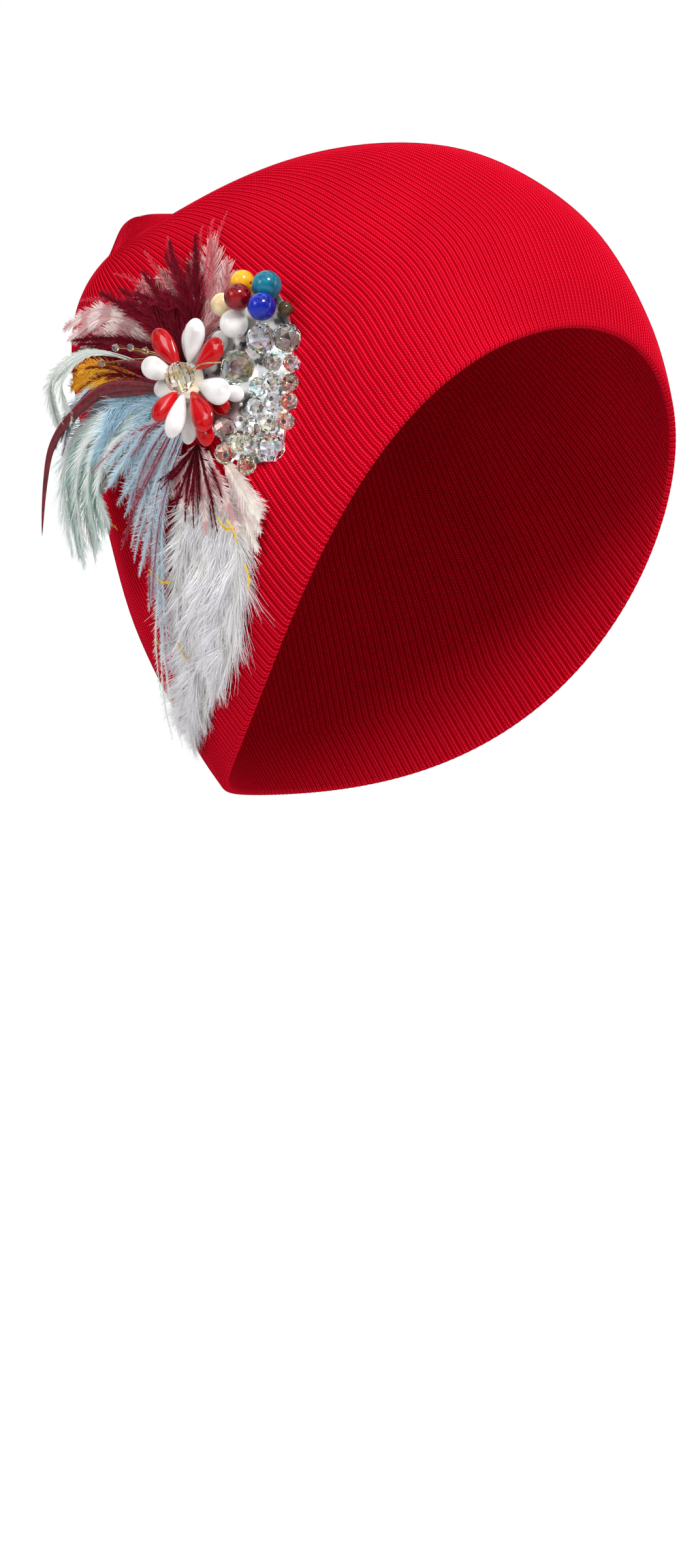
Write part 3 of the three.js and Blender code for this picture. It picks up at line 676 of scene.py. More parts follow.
def drilled_profile(radius, hole, bands):
    """The closed profile of a round bead with a thread hole along its axis, sunk a little at both ends."""
    end = math.asin(hole / radius)
    arc = np.linspace(end, math.pi - end, bands)
    outer = [(radius * math.sin(a), radius * math.cos(a)) for a in arc]
    return [*outer, (hole, outer[-1][1] + HOLE_EDGE), (hole, outer[0][1] - HOLE_EDGE), outer[0]]


champagne = Finish("champagne cut glass", IOR=1.62, Roughness=0.02, Transmission_Weight=1.0)
champagne.set(Thin_Film_Thickness=320.0, Thin_Film_IOR=1.9)
clouds = champagne.ramp(champagne.noise(900, 1.0), (0.42, (0.85, 0.72, 0.50)), (0.58, (1.0, 0.97, 0.85)))
champagne_tone = champagne.blend(0.5, champagne.attribute("tint", "Color"), clouds, "MULTIPLY")
champagne_glass = champagne.set(Base_Color=champagne_tone)
centre, size = centre_and_size("flower_centre")
centre_profile = drilled_profile(size / 2, CENTRE_HOLE, CENTRE_BANDS)
centre_form = turned_form(centre, brooch_direction(-0.15, 1, 0.45), centre_profile, CENTRE_FACETS)
centre_mesh = closed_mesh("flower_centre_bead", centre_form, smooth=False)


def tint_faces_with_reflections(mesh, tints):
    """Gives each flat face its own colour, a tint of the glass that holds a painted reflection on some faces.
    """
    layer = mesh.attributes.new("tint", "FLOAT_COLOR", "FACE")
    layer.data.foreach_set("color", np.c_[tints, np.ones(len(tints))].astype(np.float32).ravel())


centre_picks = np.random.default_rng(CENTRE_SEED).integers(len(CENTRE_TINTS_AND_REFLECTIONS), size=len(centre_mesh.polygons))
tint_faces_with_reflections(centre_mesh, CENTRE_TINTS_AND_REFLECTIONS[centre_picks])
centre_piece = add_piece(centre_mesh, champagne_glass, "champagne_crystal", "flower_centre")
centre_piece.visible_shadow = False


def wire_form(route, thickness, sides):
    """A round wire, closed at both ends, through the points of a route in millimetres."""
    route = np.asarray(route, float)
    ahead = unit(np.gradient(route, axis=0))
    aside = unit(np.cross(ahead, BROOCH_OUT + 0.01 * BROOCH_UP))  # no wire runs just that way
    other = np.cross(ahead, aside)
    around = turns_round(sides)[None, :, None]
    ring = np.cos(around) * aside[:, None] + np.sin(around) * other[:, None]
    skin = route[:, None] + ring * thickness / 2
    start, end = (np.repeat(route[i][None, None], sides, axis=1) for i in (0, -1))
    return grid_form(np.concatenate([start, skin, end]), True)


def smooth_route(corners, count):
    """So many points along a smooth route through its corners."""
    t = np.linspace(0, 1, count)
    return np.stack([smooth_column(column, t) for column in np.asarray(corners, float).T], -1)


brass = Finish("brass wire", Metallic=1.0)
brass_tone = brass.ramp(brass.noise(500, 2.0), (0.3, (0.32, 0.20, 0.09)), (0.7, (0.66, 0.46, 0.22)))
brass.set(Base_Color=brass_tone, Roughness=brass.spread(brass.noise(900, 2.0), 0.2, 0.4))
# The wire's ends stand just inside the two beads that it joins.
crystal_middle, crystal_size = centre_and_size("crystal_centre")
wire_start = centre + brooch_direction(0.9, 0.15, 0.4) * size * 0.49
wire_end = crystal_middle + brooch_direction(-0.7, 0.2, 0.7) * crystal_size * 0.47
wire_bow = (wire_start + wire_end) / 2 + brooch_direction(0, 0.6, 0.8) * WIRE_BOW
wire_route = smooth_route([wire_start, wire_bow, wire_end], WIRE_POINTS)
flower_wire = wire_form(wire_route, WIRE_THICKNESS, WIRE_SIDES)
add_piece(closed_mesh("flower_wire", flower_wire), brass.material, "silver_metal")

# ---------------------------------------------------------------------------------------------------
# The crystals. Each is a round bead of clear glass cut with three rows of facets and a flat table at each
# end of its thread hole. They are threaded in clusters and some have a faint pink, peach or green flash.

CRYSTAL_SHRINK = 0.98
CRYSTAL_SIDES = 8
CRYSTAL_SEED = 7
# A thread hole's eye: its least radius and its share of the bead's, and how far out its two parts stand: the
# metal lip and the dark disc of painted shade.
LEAST_EYE, EYE_SHARE = 0.42, 0.17
LIP_AT, SHADE_DISC_AT = 0.92, 0.93
LIP_SIDES, SHADE_DISC_SIDES = 14, 12
# The rows of corners of one half, as radius, height and turn, for a bead of radius 1.
CRYSTAL_ROWS = [(0.34, 0.92, 0.0), (0.74, 0.66, 0.5), (0.96, 0.24, 0.0)]
TINTS = {
    "crystal_top_front": (0.93, 0.97, 1.0),
    "crystal_top_middle": (0.90, 0.94, 1.0),
    "crystal_centre": (0.90, 1.0, 0.96),
    "crystal_low_front": (0.94, 0.88, 1.0),
    "crystal_low_rear": (0.97, 0.88, 0.97),
    "crystal_low_left": (1.0, 0.91, 0.85),
    "crystal_low_peach": (1.0, 0.84, 0.72),
    "crystal_inner_9": (1.0, 0.93, 0.72),
}
PLAIN_TINTS = [(1.0, 1.0, 1.0), (1.0, 0.95, 0.96), (0.95, 1.0, 0.99), (1.0, 0.98, 0.93)]
# Most faces are left clear; the others carry painted reflections: a dark one, and aqua, pink, gold and blue
# iridescent flashes.
PAINTED_FACET_REFLECTIONS = np.array([
    *[(1.0, 1.0, 1.0)] * 10, (0.16, 0.17, 0.19), (0.50, 1.0, 0.92), (1.0, 0.66, 0.88), (1.0, 0.90, 0.42),
    (0.60, 0.78, 1.0),
])
# These show the eye of their thread hole.
EYED_CRYSTALS = ("edge_1", "edge_3", "edge_4", "inner_4", "inner_6", "inner_8", "inner_10", "low_left")


def cut_crystal():
    """A cut bead of radius 1, its thread hole along z: its corners, and the faces of their hull."""
    corners = []
    for radius, height, offset in CRYSTAL_ROWS:
        for k in range(CRYSTAL_SIDES):
            turn = (k + offset) / CRYSTAL_SIDES * 2 * math.pi
            corners += [(radius * math.cos(turn), radius * math.sin(turn), height * side) for side in (1, -1)]
    work = bmesh.new()
    for corner in corners:
        work.verts.new(corner)
    bmesh.ops.convex_hull(work, input=work.verts)
    work.verts.index_update()
    points = np.array([vertex.co[:] for vertex in work.verts])
    faces = [tuple(vertex.index for vertex in face.verts) for face in work.faces]
    work.free()
    return points, faces


def turned_to(points, axis):
    """Points turned so that their z lies along an axis."""
    aside = unit(np.cross(axis, ASKEW))
    return points @ np.stack([aside, np.cross(axis, aside), axis])


def thread_eye(middle, axis, radius):
    """The rolled lip at a crystal's thread hole, and a dark disc sunk inside it that is painted shade for the
    hole.
    """
    rim = max(LEAST_EYE, radius * EYE_SHARE)
    # Each row is a distance from the hole's axis and a height over the end of the crystal.
    outer_lip = [(rim, -0.25), (rim + 0.22, 0.0), (rim + 0.16, 0.16)]
    inner_lip = [(rim, 0.2), (rim * 0.55, 0.1), (rim * 0.5, -0.25)]
    lip = [*outer_lip, *inner_lip, outer_lip[0]]
    # The dark disc is painted shade, a dark sheet where the hole lies in shade.
    shade_disc = [(0.0, -0.02), (rim * 0.8, -0.02), (rim * 0.8, -0.2), (0.0, -0.2)]
    return [
        turned_form(middle + axis * radius * LIP_AT, axis, lip, LIP_SIDES),
        turned_form(middle + axis * radius * SHADE_DISC_AT, axis, shade_disc, SHADE_DISC_SIDES),
    ]


crystal_names = sorted(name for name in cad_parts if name.startswith("crystal_"))
cut_points, cut_faces = cut_crystal()
crystal_forms, eye_forms, crystal_tints_and_reflections = [], [], []
tilt = np.random.default_rng(CRYSTAL_SEED)
for order, name in enumerate(crystal_names):
    middle, size = centre_and_size(name)
    radius = size / 2 * CRYSTAL_SHRINK
    # The eye faces outwards and forward, or else the thread runs up and down the brooch.
    axis = brooch_direction(0.55 + tilt.uniform(-0.3, 0.3), tilt.uniform(-0.45, 0.35), 0.9)
    if name.removeprefix("crystal_") not in EYED_CRYSTALS:
        axis = brooch_direction(tilt.uniform(-0.6, 0.6), 1, tilt.uniform(0.0, 0.5))
    crystal_forms.append((middle + turned_to(cut_points, axis) * radius, cut_faces))
    # Each face takes a painted reflection over the crystal's own tint.
    painted_flashes = PAINTED_FACET_REFLECTIONS[tilt.integers(len(PAINTED_FACET_REFLECTIONS), size=len(cut_faces))]
    crystal_tints_and_reflections.append(painted_flashes * TINTS.get(name, PLAIN_TINTS[order % len(PLAIN_TINTS)]))
    eye_forms += thread_eye(middle, axis, radius)

crystals = form_mesh("cut_crystals", *joined_form(crystal_forms), smooth=False)
tint_faces_with_reflections(crystals, np.concatenate(crystal_tints_and_reflections))
clear_glass = Finish("clear cut glass", IOR=1.6, Roughness=0.01, Transmission_Weight=1.0)
clear_glass.set(Thin_Film_Thickness=410.0, Thin_Film_IOR=1.85)
drift = clear_glass.ramp(
    clear_glass.noise(520, 1.0),
    (0.36, (0.86, 0.88, 0.92)),
    (0.5, (1.0, 1.0, 1.0)),
    (0.64, (0.97, 0.92, 0.93)),
)
# The face colours carry the painted facet reflections.
clear_glass.set(Base_Color=clear_glass.blend(0.3, clear_glass.attribute("tint", "Color"), drift, "MULTIPLY"))
crystals_piece = add_piece(crystals, clear_glass.material, "clear_crystal", *crystal_names)
crystals_piece.visible_shadow = False

# Blackened silver for the eye lips; the same dark finish colours the discs of painted shade.
blackened = Finish("blackened silver", Metallic=0.9)
blackened_and_shade_tone = blackened.ramp(
    blackened.noise(900, 2.0), (0.3, (0.03, 0.025, 0.03)), (0.7, (0.16, 0.14, 0.14))
)
blackened.set(Base_Color=blackened_and_shade_tone, Roughness=blackened.spread(blackened.noise(1500, 2.0), 0.25, 0.5))
add_piece(closed_mesh("crystal_thread_eyes_and_shade_discs", *eye_forms), blackened.material, "silver_metal")

# ---------------------------------------------------------------------------------------------------
# The coloured beads. They are round beads of drawn glass, drilled through and threaded close together
# above the crystals. The dark red, teal and blue ones are clear, and the white one is pearly.

# Which way each bead's hole runs, the name of its glass material, and the deeper and clearer tints of its
# glass.
BEADS = {
    "bead_white": ((-0.5, 0.8, 0.1), "white_glass", (0.84, 0.80, 0.78), (0.96, 0.94, 0.93)),
    "bead_cream": ((0.8, 0.4, 0.1), "cream_glass", (0.62, 0.46, 0.25), (0.90, 0.76, 0.50)),
    "bead_yellow": ((0.9, -0.2, 0.1), "yellow_glass", (0.72, 0.28, 0.006), (0.92, 0.46, 0.02)),
    "bead_teal": ((0.5, -0.9, 0.1), "teal_glass", (0.002, 0.075, 0.13), (0.006, 0.20, 0.30)),
    "bead_olive": ((0.2, 0.9, 0.2), "olive_glass", (0.03, 0.02, 0.008), (0.09, 0.06, 0.022)),
    "bead_dark_red": ((0.9, 0.3, 0.1), "dark_red_glass", (0.10, 0.0, 0.003), (0.30, 0.002, 0.008)),
    "bead_blue": ((0.1, 0.9, 0.1), "blue_glass", (0.0015, 0.006, 0.17), (0.004, 0.02, 0.42)),
}
THREAD_HOLE = 0.55
BEAD_BANDS, BEAD_SIDES = 26, 40


def bead_glass(name, deep, clear):
    """Drawn glass: fine swirls of a deeper and a clearer tint under a polished skin."""
    glass = Finish(name, IOR=1.52, Coat_Weight=0.55, Coat_Roughness=0.015, Specular_IOR_Level=0.1)
    glass.set(Subsurface_Weight=0.25, Subsurface_Scale=1.5 * MM)
    swirls = glass.noise(260, 2.0)
    ripple = glass.relief(glass.noise(420, 1.0), 0.06, 0.2 * MM)
    colour = glass.ramp(swirls, (0.32, deep), (0.68, clear))
    return glass.set(Base_Color=colour, Roughness=glass.spread(swirls, 0.05, 0.14), Normal=ripple)


for name, (hole_along, slot, deep, clear) in BEADS.items():
    middle, size = centre_and_size(name)
    profile = drilled_profile(size / 2, THREAD_HOLE, BEAD_BANDS)
    bead_form = turned_form(middle, brooch_direction(*hole_along), profile, BEAD_SIDES)
    glass = bead_glass(slot.replace("_", " "), deep, clear)
    add_piece(closed_mesh(f"{name}_drilled", bead_form), glass, slot, name)

# ---------------------------------------------------------------------------------------------------
# The small seed beads that fill the gaps between the crystals, threaded down against the plate. Most
# are silver-lined and a few are black or gold.

# Their places on the plate, forward and up from the brooch's middle.
SEED_PLACES = [
    (24.9, 9.6), (25.3, 2.9), (25.5, -3.2), (25.5, -9.6), (20, -3.8), (19.9, -10.7), (13.2, -5.2),
    (13.4, -10.9), (19.6, 2.8), (20.1, -17.3), (14.2, -17.1), (8.2, -16.6), (14.6, 7.4), (16.3, 3.4),
    (7.6, -5.2), (3.2, -6.4), (10.8, -1.6), (25, -16), (9.1, -22), (22.2, 11.2), (22.3, 18.2),
    (12.2, 20.6), (15.2, 24.2), (15.2, 19.8), (4.8, 26.6), (6.2, 14.4), (11.2, 12.4), (12.6, 31.6),
]
SEED_SIZE, SEED_BANDS, SEED_RINGS = 1.7, 12, 8
SIZE_SEED, KIND_SEED = 3, 11
OVER_PLATE = 30

plate_tree = BVHTree.FromPolygons(
    [vertex.co for vertex in plate.data.vertices], [tuple(face.vertices) for face in plate.data.polygons]
)


def on_plate(x, y, gap):
    """The point so far above the plate's face at x and y."""
    above = on_brooch(x, y, OVER_PLATE) * MM
    hit = plate_tree.ray_cast(Vector(above), Vector(-BROOCH_OUT))[0]
    return np.array(hit) / MM + BROOCH_OUT * gap


def seed_recipe():
    """Puts a small ball on each point, a little uneven in size."""
    recipe = Recipe("seed beads", Bead_Size=SEED_SIZE * MM, Unevenness=0.25, Seed=SIZE_SEED, Material=None)
    places, size, unevenness, seed, material = (recipe.inputs[i] for i in range(5))
    ball = recipe.step("GeometryNodeMeshUVSphere", SEED_BANDS, SEED_RINGS, recipe.times(size, 0.5))
    ball = recipe.step("GeometryNodeSetShadeSmooth", ball)
    smallest = recipe.minus(1.0, unevenness)
    scale = recipe.step("FunctionNodeRandomValue", smallest, 1.0, None, seed, data_type="FLOAT")
    placed = recipe.step("GeometryNodeInstanceOnPoints", places, None, ball, None, None, None, scale)
    kind = recipe.step("FunctionNodeRandomValue", 0.0, 1.0, None, KIND_SEED, data_type="FLOAT")
    recipe.finish(recipe.store(placed, "kind", kind, domain="INSTANCE"), material)
    return recipe


seed_glass = Finish("silver-lined seed beads", Metallic=0.6, Coat_Weight=1.0, Coat_Roughness=0.02)
seed_tone = seed_glass.ramp(
    seed_glass.attribute("kind"),
    (0.0, (0.02, 0.016, 0.02)),
    (0.34, (0.04, 0.03, 0.03)),
    (0.38, (0.62, 0.6, 0.58)),
    (0.8, (0.72, 0.68, 0.62)),
    (0.86, (0.75, 0.5, 0.16)),
)
seed_glass.set(Base_Color=seed_tone, Roughness=seed_glass.spread(seed_glass.noise(1200, 2.0), 0.12, 0.3))
seed_points = form_mesh("seed_places", [on_plate(x, y, SEED_SIZE / 2) for x, y in SEED_PLACES], [])
seeds = seed_recipe().run("seed_beads", seed_points, Material=seed_glass.material)
add_piece(seeds, seed_glass.material, "silver_metal")

# ---------------------------------------------------------------------------------------------------
# The tiny champagne crystals that float over the feathers behind the flower, each on its own brass wire.

# Their places, the wires' common root and how far a wire arches, by bearing, height and lift off the knit.
TINY_CRYSTALS = [(14.5, -7.5, 10.5), (10.5, -8, 9), (19, -11.5, 11), (6.5, -9.5, 7.5)]
TINY_ROOT, TINY_ARCH = (0, -13, 3), (0, 0.6, 1.2)
TINY_SIZE, TINY_WIRE = 2.6, 0.3
TINY_WIRE_POINTS, TINY_WIRE_SIDES = 12, 6
TINY_SEED = 5
tiny_wires, tiny_crystals = [], []
for place in TINY_CRYSTALS:
    over_middle = np.add(TINY_ROOT, place) / 2 + TINY_ARCH
    route, outward = over_cap(*smooth_route([TINY_ROOT, over_middle, place], TINY_WIRE_POINTS).T)
    tiny_wires.append(wire_form(route, TINY_WIRE, TINY_WIRE_SIDES))
    tiny_crystals.append((route[-1] + turned_to(cut_points, outward[-1]) * TINY_SIZE / 2, cut_faces))
add_piece(closed_mesh("tiny_crystal_wires", *tiny_wires), brass.material, "silver_metal")
tiny_mesh = form_mesh("tiny_crystals", *joined_form(tiny_crystals), smooth=False)
# The tiny crystals' faces take the same colours, the painted dark reflection included.
tiny_picks = np.random.default_rng(TINY_SEED).integers(len(CENTRE_TINTS_AND_REFLECTIONS), size=len(tiny_mesh.polygons))
tint_faces_with_reflections(tiny_mesh, CENTRE_TINTS_AND_REFLECTIONS[tiny_picks])
add_piece(tiny_mesh, champagne_glass, "champagne_crystal")

# ---------------------------------------------------------------------------------------------------
# The burgundy fan behind the top of the flower. Stiff dyed hackle feathers lie over softer blush ones,
# with a few bare wisps above. All the feathers are tucked under the plate and held by its stitches.
# A route runs from its root over one to three bends to its tip, each a bearing, a height and a lift off
# the knit.

QUILL_POINTS = 26
LEAST_LIFT = 0.9
# A quill's bends stray by this share of what the whole quill strays.
BEND_STRAY = 0.3
BARB_POINTS, LEAST_BARB = 6, 0.5
SHAFT_SIDES, SHAFT_STEP = 5, 2.5
FEATHER_SEED = 1


def bunch(blades, count, seed, shortest, stray=(2.5, 2.5, 0.8), raised=0.0):
    """Quill routes spread over a fan of main ones, some shorter, each straying a little towards its tip."""
    chance = np.random.default_rng(seed)
    blades = np.array(blades, float)
    places = blades.shape[1]
    at = np.linspace(0, len(blades) - 1, count) if len(blades) > 1 else np.zeros(count)
    lower = np.minimum(np.floor(at).astype(int), max(len(blades) - 2, 0))
    upper = np.minimum(lower + 1, len(blades) - 1)
    share = (at - lower)[:, None, None]
    routes = blades[lower] * (1 - share) + blades[upper] * share
    out = np.linspace(0, 1, places)[None, :, None]
    length = chance.uniform(shortest, 1.0, count)[:, None, None]
    routes = routes[:, :1] + (routes - routes[:, :1]) * (1 - (1 - length) * out)
    sway = chance.normal(0, 1, (count, 1, 3)) * np.array(stray)
    bends = chance.normal(0, 1, (count, places, 3)) * np.array(stray)
    routes = routes + sway * out + bends * out * BEND_STRAY
    routes[..., 2] = np.maximum(routes[..., 2] + raised * out[..., 0] ** 0.5, LEAST_LIFT)
    return routes


def quills_mesh(routes, barb_reach, bare, fullest, seed):
    """The quills of a bunch as lines, with what their barbs need to know stored on their points. A quill is
    bare up to one share of its length, and its barbs are longest at another share of the rest."""
    chance = np.random.default_rng(seed)
    s = np.linspace(0, 1, QUILL_POINTS)
    route = np.stack([smooth_route(corners, QUILL_POINTS) for corners in routes])
    points, outward = over_cap(route[..., 0], route[..., 1], route[..., 2])
    x = ((s - bare) / (1 - bare)).clip(0, 1)
    leaf = np.sin(np.pi * x ** (math.log(0.5) / math.log(fullest))).clip(0) ** 0.6
    reach = leaf[None] * barb_reach * chance.uniform(0.8, 1.15, len(routes))[:, None] * (s > bare)
    gone = np.linalg.norm(np.diff(points, axis=1), axis=-1).cumsum(axis=1)
    distance = np.concatenate([np.zeros((len(routes), 1)), gone], axis=1)
    ids = np.arange(points.shape[0] * QUILL_POINTS).reshape(-1, QUILL_POINTS)
    edges = np.stack([ids[:, :-1], ids[:, 1:]], -1).reshape(-1, 2)
    mesh = bpy.data.meshes.new("quills")
    mesh.from_pydata((points.reshape(-1, 3) * MM).tolist(), edges.tolist(), [])
    facing = mesh.attributes.new("facing", "FLOAT_VECTOR", "POINT")
    facing.data.foreach_set("vector", outward.astype(np.float32).ravel())
    stored = {
        "reach": reach * MM,
        "distance": distance * MM,
        "along": np.repeat(s[None], len(routes), axis=0),
        "shade": np.repeat(chance.uniform(0, 1, len(routes))[:, None], QUILL_POINTS, axis=1),
    }
    for name, values in stored.items():
        layer = mesh.attributes.new(name, "FLOAT", "POINT")
        layer.data.foreach_set("value", values.astype(np.float32).ravel())
    return mesh


def feather_recipe():
    """Grows two rows of barbs along each quill. A barb leaves the quill at an angle, curls towards the tip,
    lifts off the head, joins its neighbours in locks, and strays a little."""
    recipe = Recipe(
        "feather",
        Barb_Spacing=0.35 * MM,
        Barb_Width=0.4 * MM,
        Barb_Angle=0.75,
        Variety=0.35,
        Curl=0.25,
        Lift=0.08,
        Lock_Size=3 * MM,
        Locking=0.5,
        Stray=0.1,
        Wave=0.12,
        Shaft_Width=0.6 * MM,
        Seed=FEATHER_SEED,
        Material=None,
    )
    quills, spacing, width, angle, variety, curl, lift = (recipe.inputs[i] for i in range(7))
    lock_size, locking, stray, wave, shaft, seed, material = (recipe.inputs[i] for i in range(7, 14))
    plus, minus, times, number = recipe.plus, recipe.minus, recipe.times, recipe.number
    scaled, vector, attribute = recipe.scaled, recipe.vector, recipe.attribute
    curves = recipe.step("GeometryNodeMeshToCurve", quills)
    spaced = recipe.step("GeometryNodeResampleCurve", curves, None, spacing, mode="LENGTH")
    spaced = recipe.store(spaced, "root_at", recipe.step("GeometryNodeInputPosition"), "FLOAT_VECTOR")
    spaced = recipe.store(spaced, "ahead", recipe.step("GeometryNodeInputTangent"), "FLOAT_VECTOR")
    strip = recipe.step("GeometryNodeMeshGrid", 1.0, 1.0, BARB_POINTS, 2)
    flat = recipe.step("GeometryNodeInputPosition")
    lengthwise, crosswise = (recipe.step("ShaderNodeSeparateXYZ", flat, out=out) for out in ("X", "Y"))
    strip = recipe.store(strip, "out", plus(lengthwise, 0.5))
    strip = recipe.store(strip, "across", times(crosswise, 2.0))
    bears_barbs = number("GREATER_THAN", attribute("reach"), LEAST_BARB * MM)
    rows = []
    for side in (1.0, -1.0):
        row = recipe.step("GeometryNodeInstanceOnPoints", spaced, bears_barbs, strip)
        own_seed = plus(times(seed, 4.0), side)
        own = recipe.step("FunctionNodeRandomValue", 0.0, 1.0, None, own_seed, data_type="FLOAT")
        row = recipe.store(row, "chance", own, domain="INSTANCE")
        limits, other_seed = ((-1, -1, -1), (1, 1, 1)), plus(own_seed, 40.0)
        way = recipe.step("FunctionNodeRandomValue", *limits, None, other_seed, data_type="FLOAT_VECTOR")
        row = recipe.store(row, "sway", way, "FLOAT_VECTOR", "INSTANCE")
        rows.append(recipe.store(row, "side", side, domain="INSTANCE"))
    barbs = recipe.step("GeometryNodeRealizeInstances", recipe.join(*rows))

    # Each barb leaves its root between ahead and aside, a share of its length at a time.
    out, chance, reach = attribute("out"), attribute("chance"), attribute("reach")
    ahead, facing, root_at = (attribute(name, "FLOAT_VECTOR") for name in ("ahead", "facing", "root_at"))
    out_squared = times(out, out)
    second_chance = number("FRACT", times(chance, 7.31))
    length = times(reach, minus(1.0, times(variety, second_chance)))
    uneven_angle = times(angle, plus(0.8, times(chance, 0.4)))
    aside = scaled(vector("NORMALIZE", vector("CROSS_PRODUCT", facing, ahead)), attribute("side"))
    onward = scaled(ahead, number("COSINE", uneven_angle))
    leaving = vector("ADD", onward, scaled(aside, number("SINE", uneven_angle)))
    gone, bending = times(length, out), times(length, out_squared)

    # The tips are drawn to the middle of their lock. Each feather's locks start at a place of its own.
    locks = number("DIVIDE", attribute("distance"), lock_size)
    own_start = times(attribute("shade"), 5.0)
    lock_middle = minus(plus(number("FLOOR", plus(locks, own_start)), 0.5), own_start)
    pull = times(times(minus(lock_middle, locks), lock_size), locking, out_squared)

    # Slow waves in the room bend neighbouring barbs alike.
    ripple_at = vector("ADD", root_at, scaled(scaled(leaving, gone), 0.5))
    ripple = recipe.step("ShaderNodeTexNoise", ripple_at, 140.0, 1.0, 0.5, out=1)
    rippling = vector("SUBTRACT", ripple, (0.5, 0.5, 0.5))
    sideways_on = vector("NORMALIZE", vector("CROSS_PRODUCT", facing, leaving))
    edge = times(minus(1.0, times(out, 0.85)), attribute("across"))
    place = recipe.sum(
        root_at,
        scaled(leaving, gone),
        scaled(ahead, plus(times(bending, curl), pull)),
        scaled(facing, times(gone, times(lift, second_chance))),
        scaled(attribute("sway", "FLOAT_VECTOR"), times(bending, stray)),
        scaled(rippling, times(bending, times(wave, 4.0))),
        scaled(sideways_on, times(times(width, 0.5), edge)),
    )
    barbs = recipe.step("GeometryNodeSetPosition", barbs, None, place)

    sparse = recipe.step("GeometryNodeResampleCurve", curves, None, SHAFT_STEP * MM, mode="LENGTH")
    ring = recipe.step("GeometryNodeCurvePrimitiveCircle", SHAFT_SIDES, 1.0)
    thickness = times(times(shaft, 0.5), minus(1.0, times(attribute("along"), 0.85)))
    shafts = recipe.step("GeometryNodeCurveToMesh", sparse, ring, thickness, True)
    shafts = recipe.store(shafts, "shaft", 1.0)
    recipe.finish(recipe.join(barbs, shafts), material)
    return recipe


FEATHER = feather_recipe()


def feather_tone_group():
    """A barb's colour: from its root to its tip, with bands across the quill, and a little uneven."""
    group = Tree(bpy.data.node_groups.new("feather tones", "ShaderNodeTree"))
    for label in ("Root", "Middle", "Tip", "Band", "Shaft"):
        group.socket(label, "Color")
    for label, value in (("Band Strength", 0.0), ("Band Length", 6 * MM), ("Uneven", 0.3)):
        group.socket(label, "Float", value)
    group.socket("Color", "Color", way="OUTPUT")
    given = group.tree.nodes.new("NodeGroupInput").outputs
    plus, minus, times, number, blend = group.plus, group.minus, group.times, group.number, group.blend

    def attribute(name):
        return group.step("ShaderNodeAttribute", attribute_name=name, out="Fac")

    out, chance = attribute("out"), attribute("chance")
    drifting = plus(out, times(minus(chance, 0.5), 0.3))
    inner = blend(number("MULTIPLY", drifting, 2.0, clamp=True), given["Root"], given["Middle"])
    outer_share = number("SUBTRACT", times(drifting, 2.0), 1.0, clamp=True)
    whole = blend(outer_share, inner, given["Tip"])
    slanted = plus(attribute("distance"), times(out, attribute("reach"), 0.9))
    beat = number("SINE", number("DIVIDE", times(slanted, 2 * math.pi), given["Band Length"]))
    band = number("MULTIPLY", plus(beat, 0.15), 2.5, clamp=True)
    banded = blend(times(band, given["Band Strength"]), whole, given["Band"])
    light = plus(times(plus(chance, attribute("shade")), 0.5), -0.5)
    value = plus(1.0, times(light, given["Uneven"]))
    uneven = group.step("ShaderNodeHueSaturation", None, None, value, None, banded)
    return group.close(blend(attribute("shaft"), uneven, given["Shaft"]))


FEATHER_TONES = feather_tone_group()
NO_BANDS = ((0, 0, 0), 0.0, 6.0)


def feather_dye(name, root, middle, tip, shaft, bands=NO_BANDS, uneven=0.5, gloss=0.2, sheen=0.05):
    """The look of one dyed feather: its barbs from root to tip, its shaft, and the colour, strength and
    length of the bands across it."""
    dye = Finish(name, Specular_IOR_Level=gloss, Sheen_Weight=sheen, Sheen_Roughness=0.4)
    band, strength, band_length = bands
    colours = [(*colour, 1) for colour in (root, middle, tip, band, shaft)]
    tone = dye.step("ShaderNodeGroup", *colours, strength, band_length * MM, uneven, node_tree=FEATHER_TONES)
    return dye.set(Base_Color=tone, Roughness=dye.spread(dye.attribute("chance"), 0.45, 0.75))


LENGTHS = ("Barb_Spacing", "Barb_Width", "Lock_Size", "Shaft_Width")


def add_feathers(name, routes, dye, slot, reach, *stands_for, bare=0.12, fullest=0.35, **look):
    """Grows a bunch of feathers of one dye along its routes."""
    settings = {key: value * MM if key in LENGTHS else value for key, value in look.items()}
    quills = quills_mesh(routes, reach, bare, fullest, FEATHER_SEED)
    mesh = FEATHER.run(name, quills, Seed=FEATHER_SEED, Material=dye, **settings)
    for spent in ("root_at", "ahead", "facing", "sway", "side"):
        if spent in mesh.attributes:
            mesh.attributes.remove(mesh.attributes[spent])
    return add_piece(mesh, dye, slot, *stands_for)


FAN_ROOT = [-4, -16, 1]
FAN_BLADES = [
    [FAN_ROOT, [-9, 5, 2], [-9, 25, 3.5]],
    [FAN_ROOT, [-5, 6, 2], [1, 22, 4]],
    [FAN_ROOT, [1, 6, 2], [9, 18, 4.5]],
    [FAN_ROOT, [7, 4, 3], [18, 14, 6]],
    [FAN_ROOT, [11, 1, 4], [23, 9, 7]],
]
LOW_FAN_BLADES = [
    [FAN_ROOT, [14, -5, 4.5], [32, -2, 9]],
    [FAN_ROOT, [15, -9, 4.5], [34, -6, 9.5]],
]
BLUSH_BLADES = [
    [FAN_ROOT, [-13, 4, 1.4], [-12, 24, 2.2]],
    [FAN_ROOT, [-9, 6, 1.4], [-4, 23, 2.4]],
    [FAN_ROOT, [-3, 6, 1.4], [6, 19, 2.8]],
    [FAN_ROOT, [4, 5, 1.6], [15, 15, 3.2]],
    [FAN_ROOT, [10, 1, 1.8], [24, 7, 4]],
]
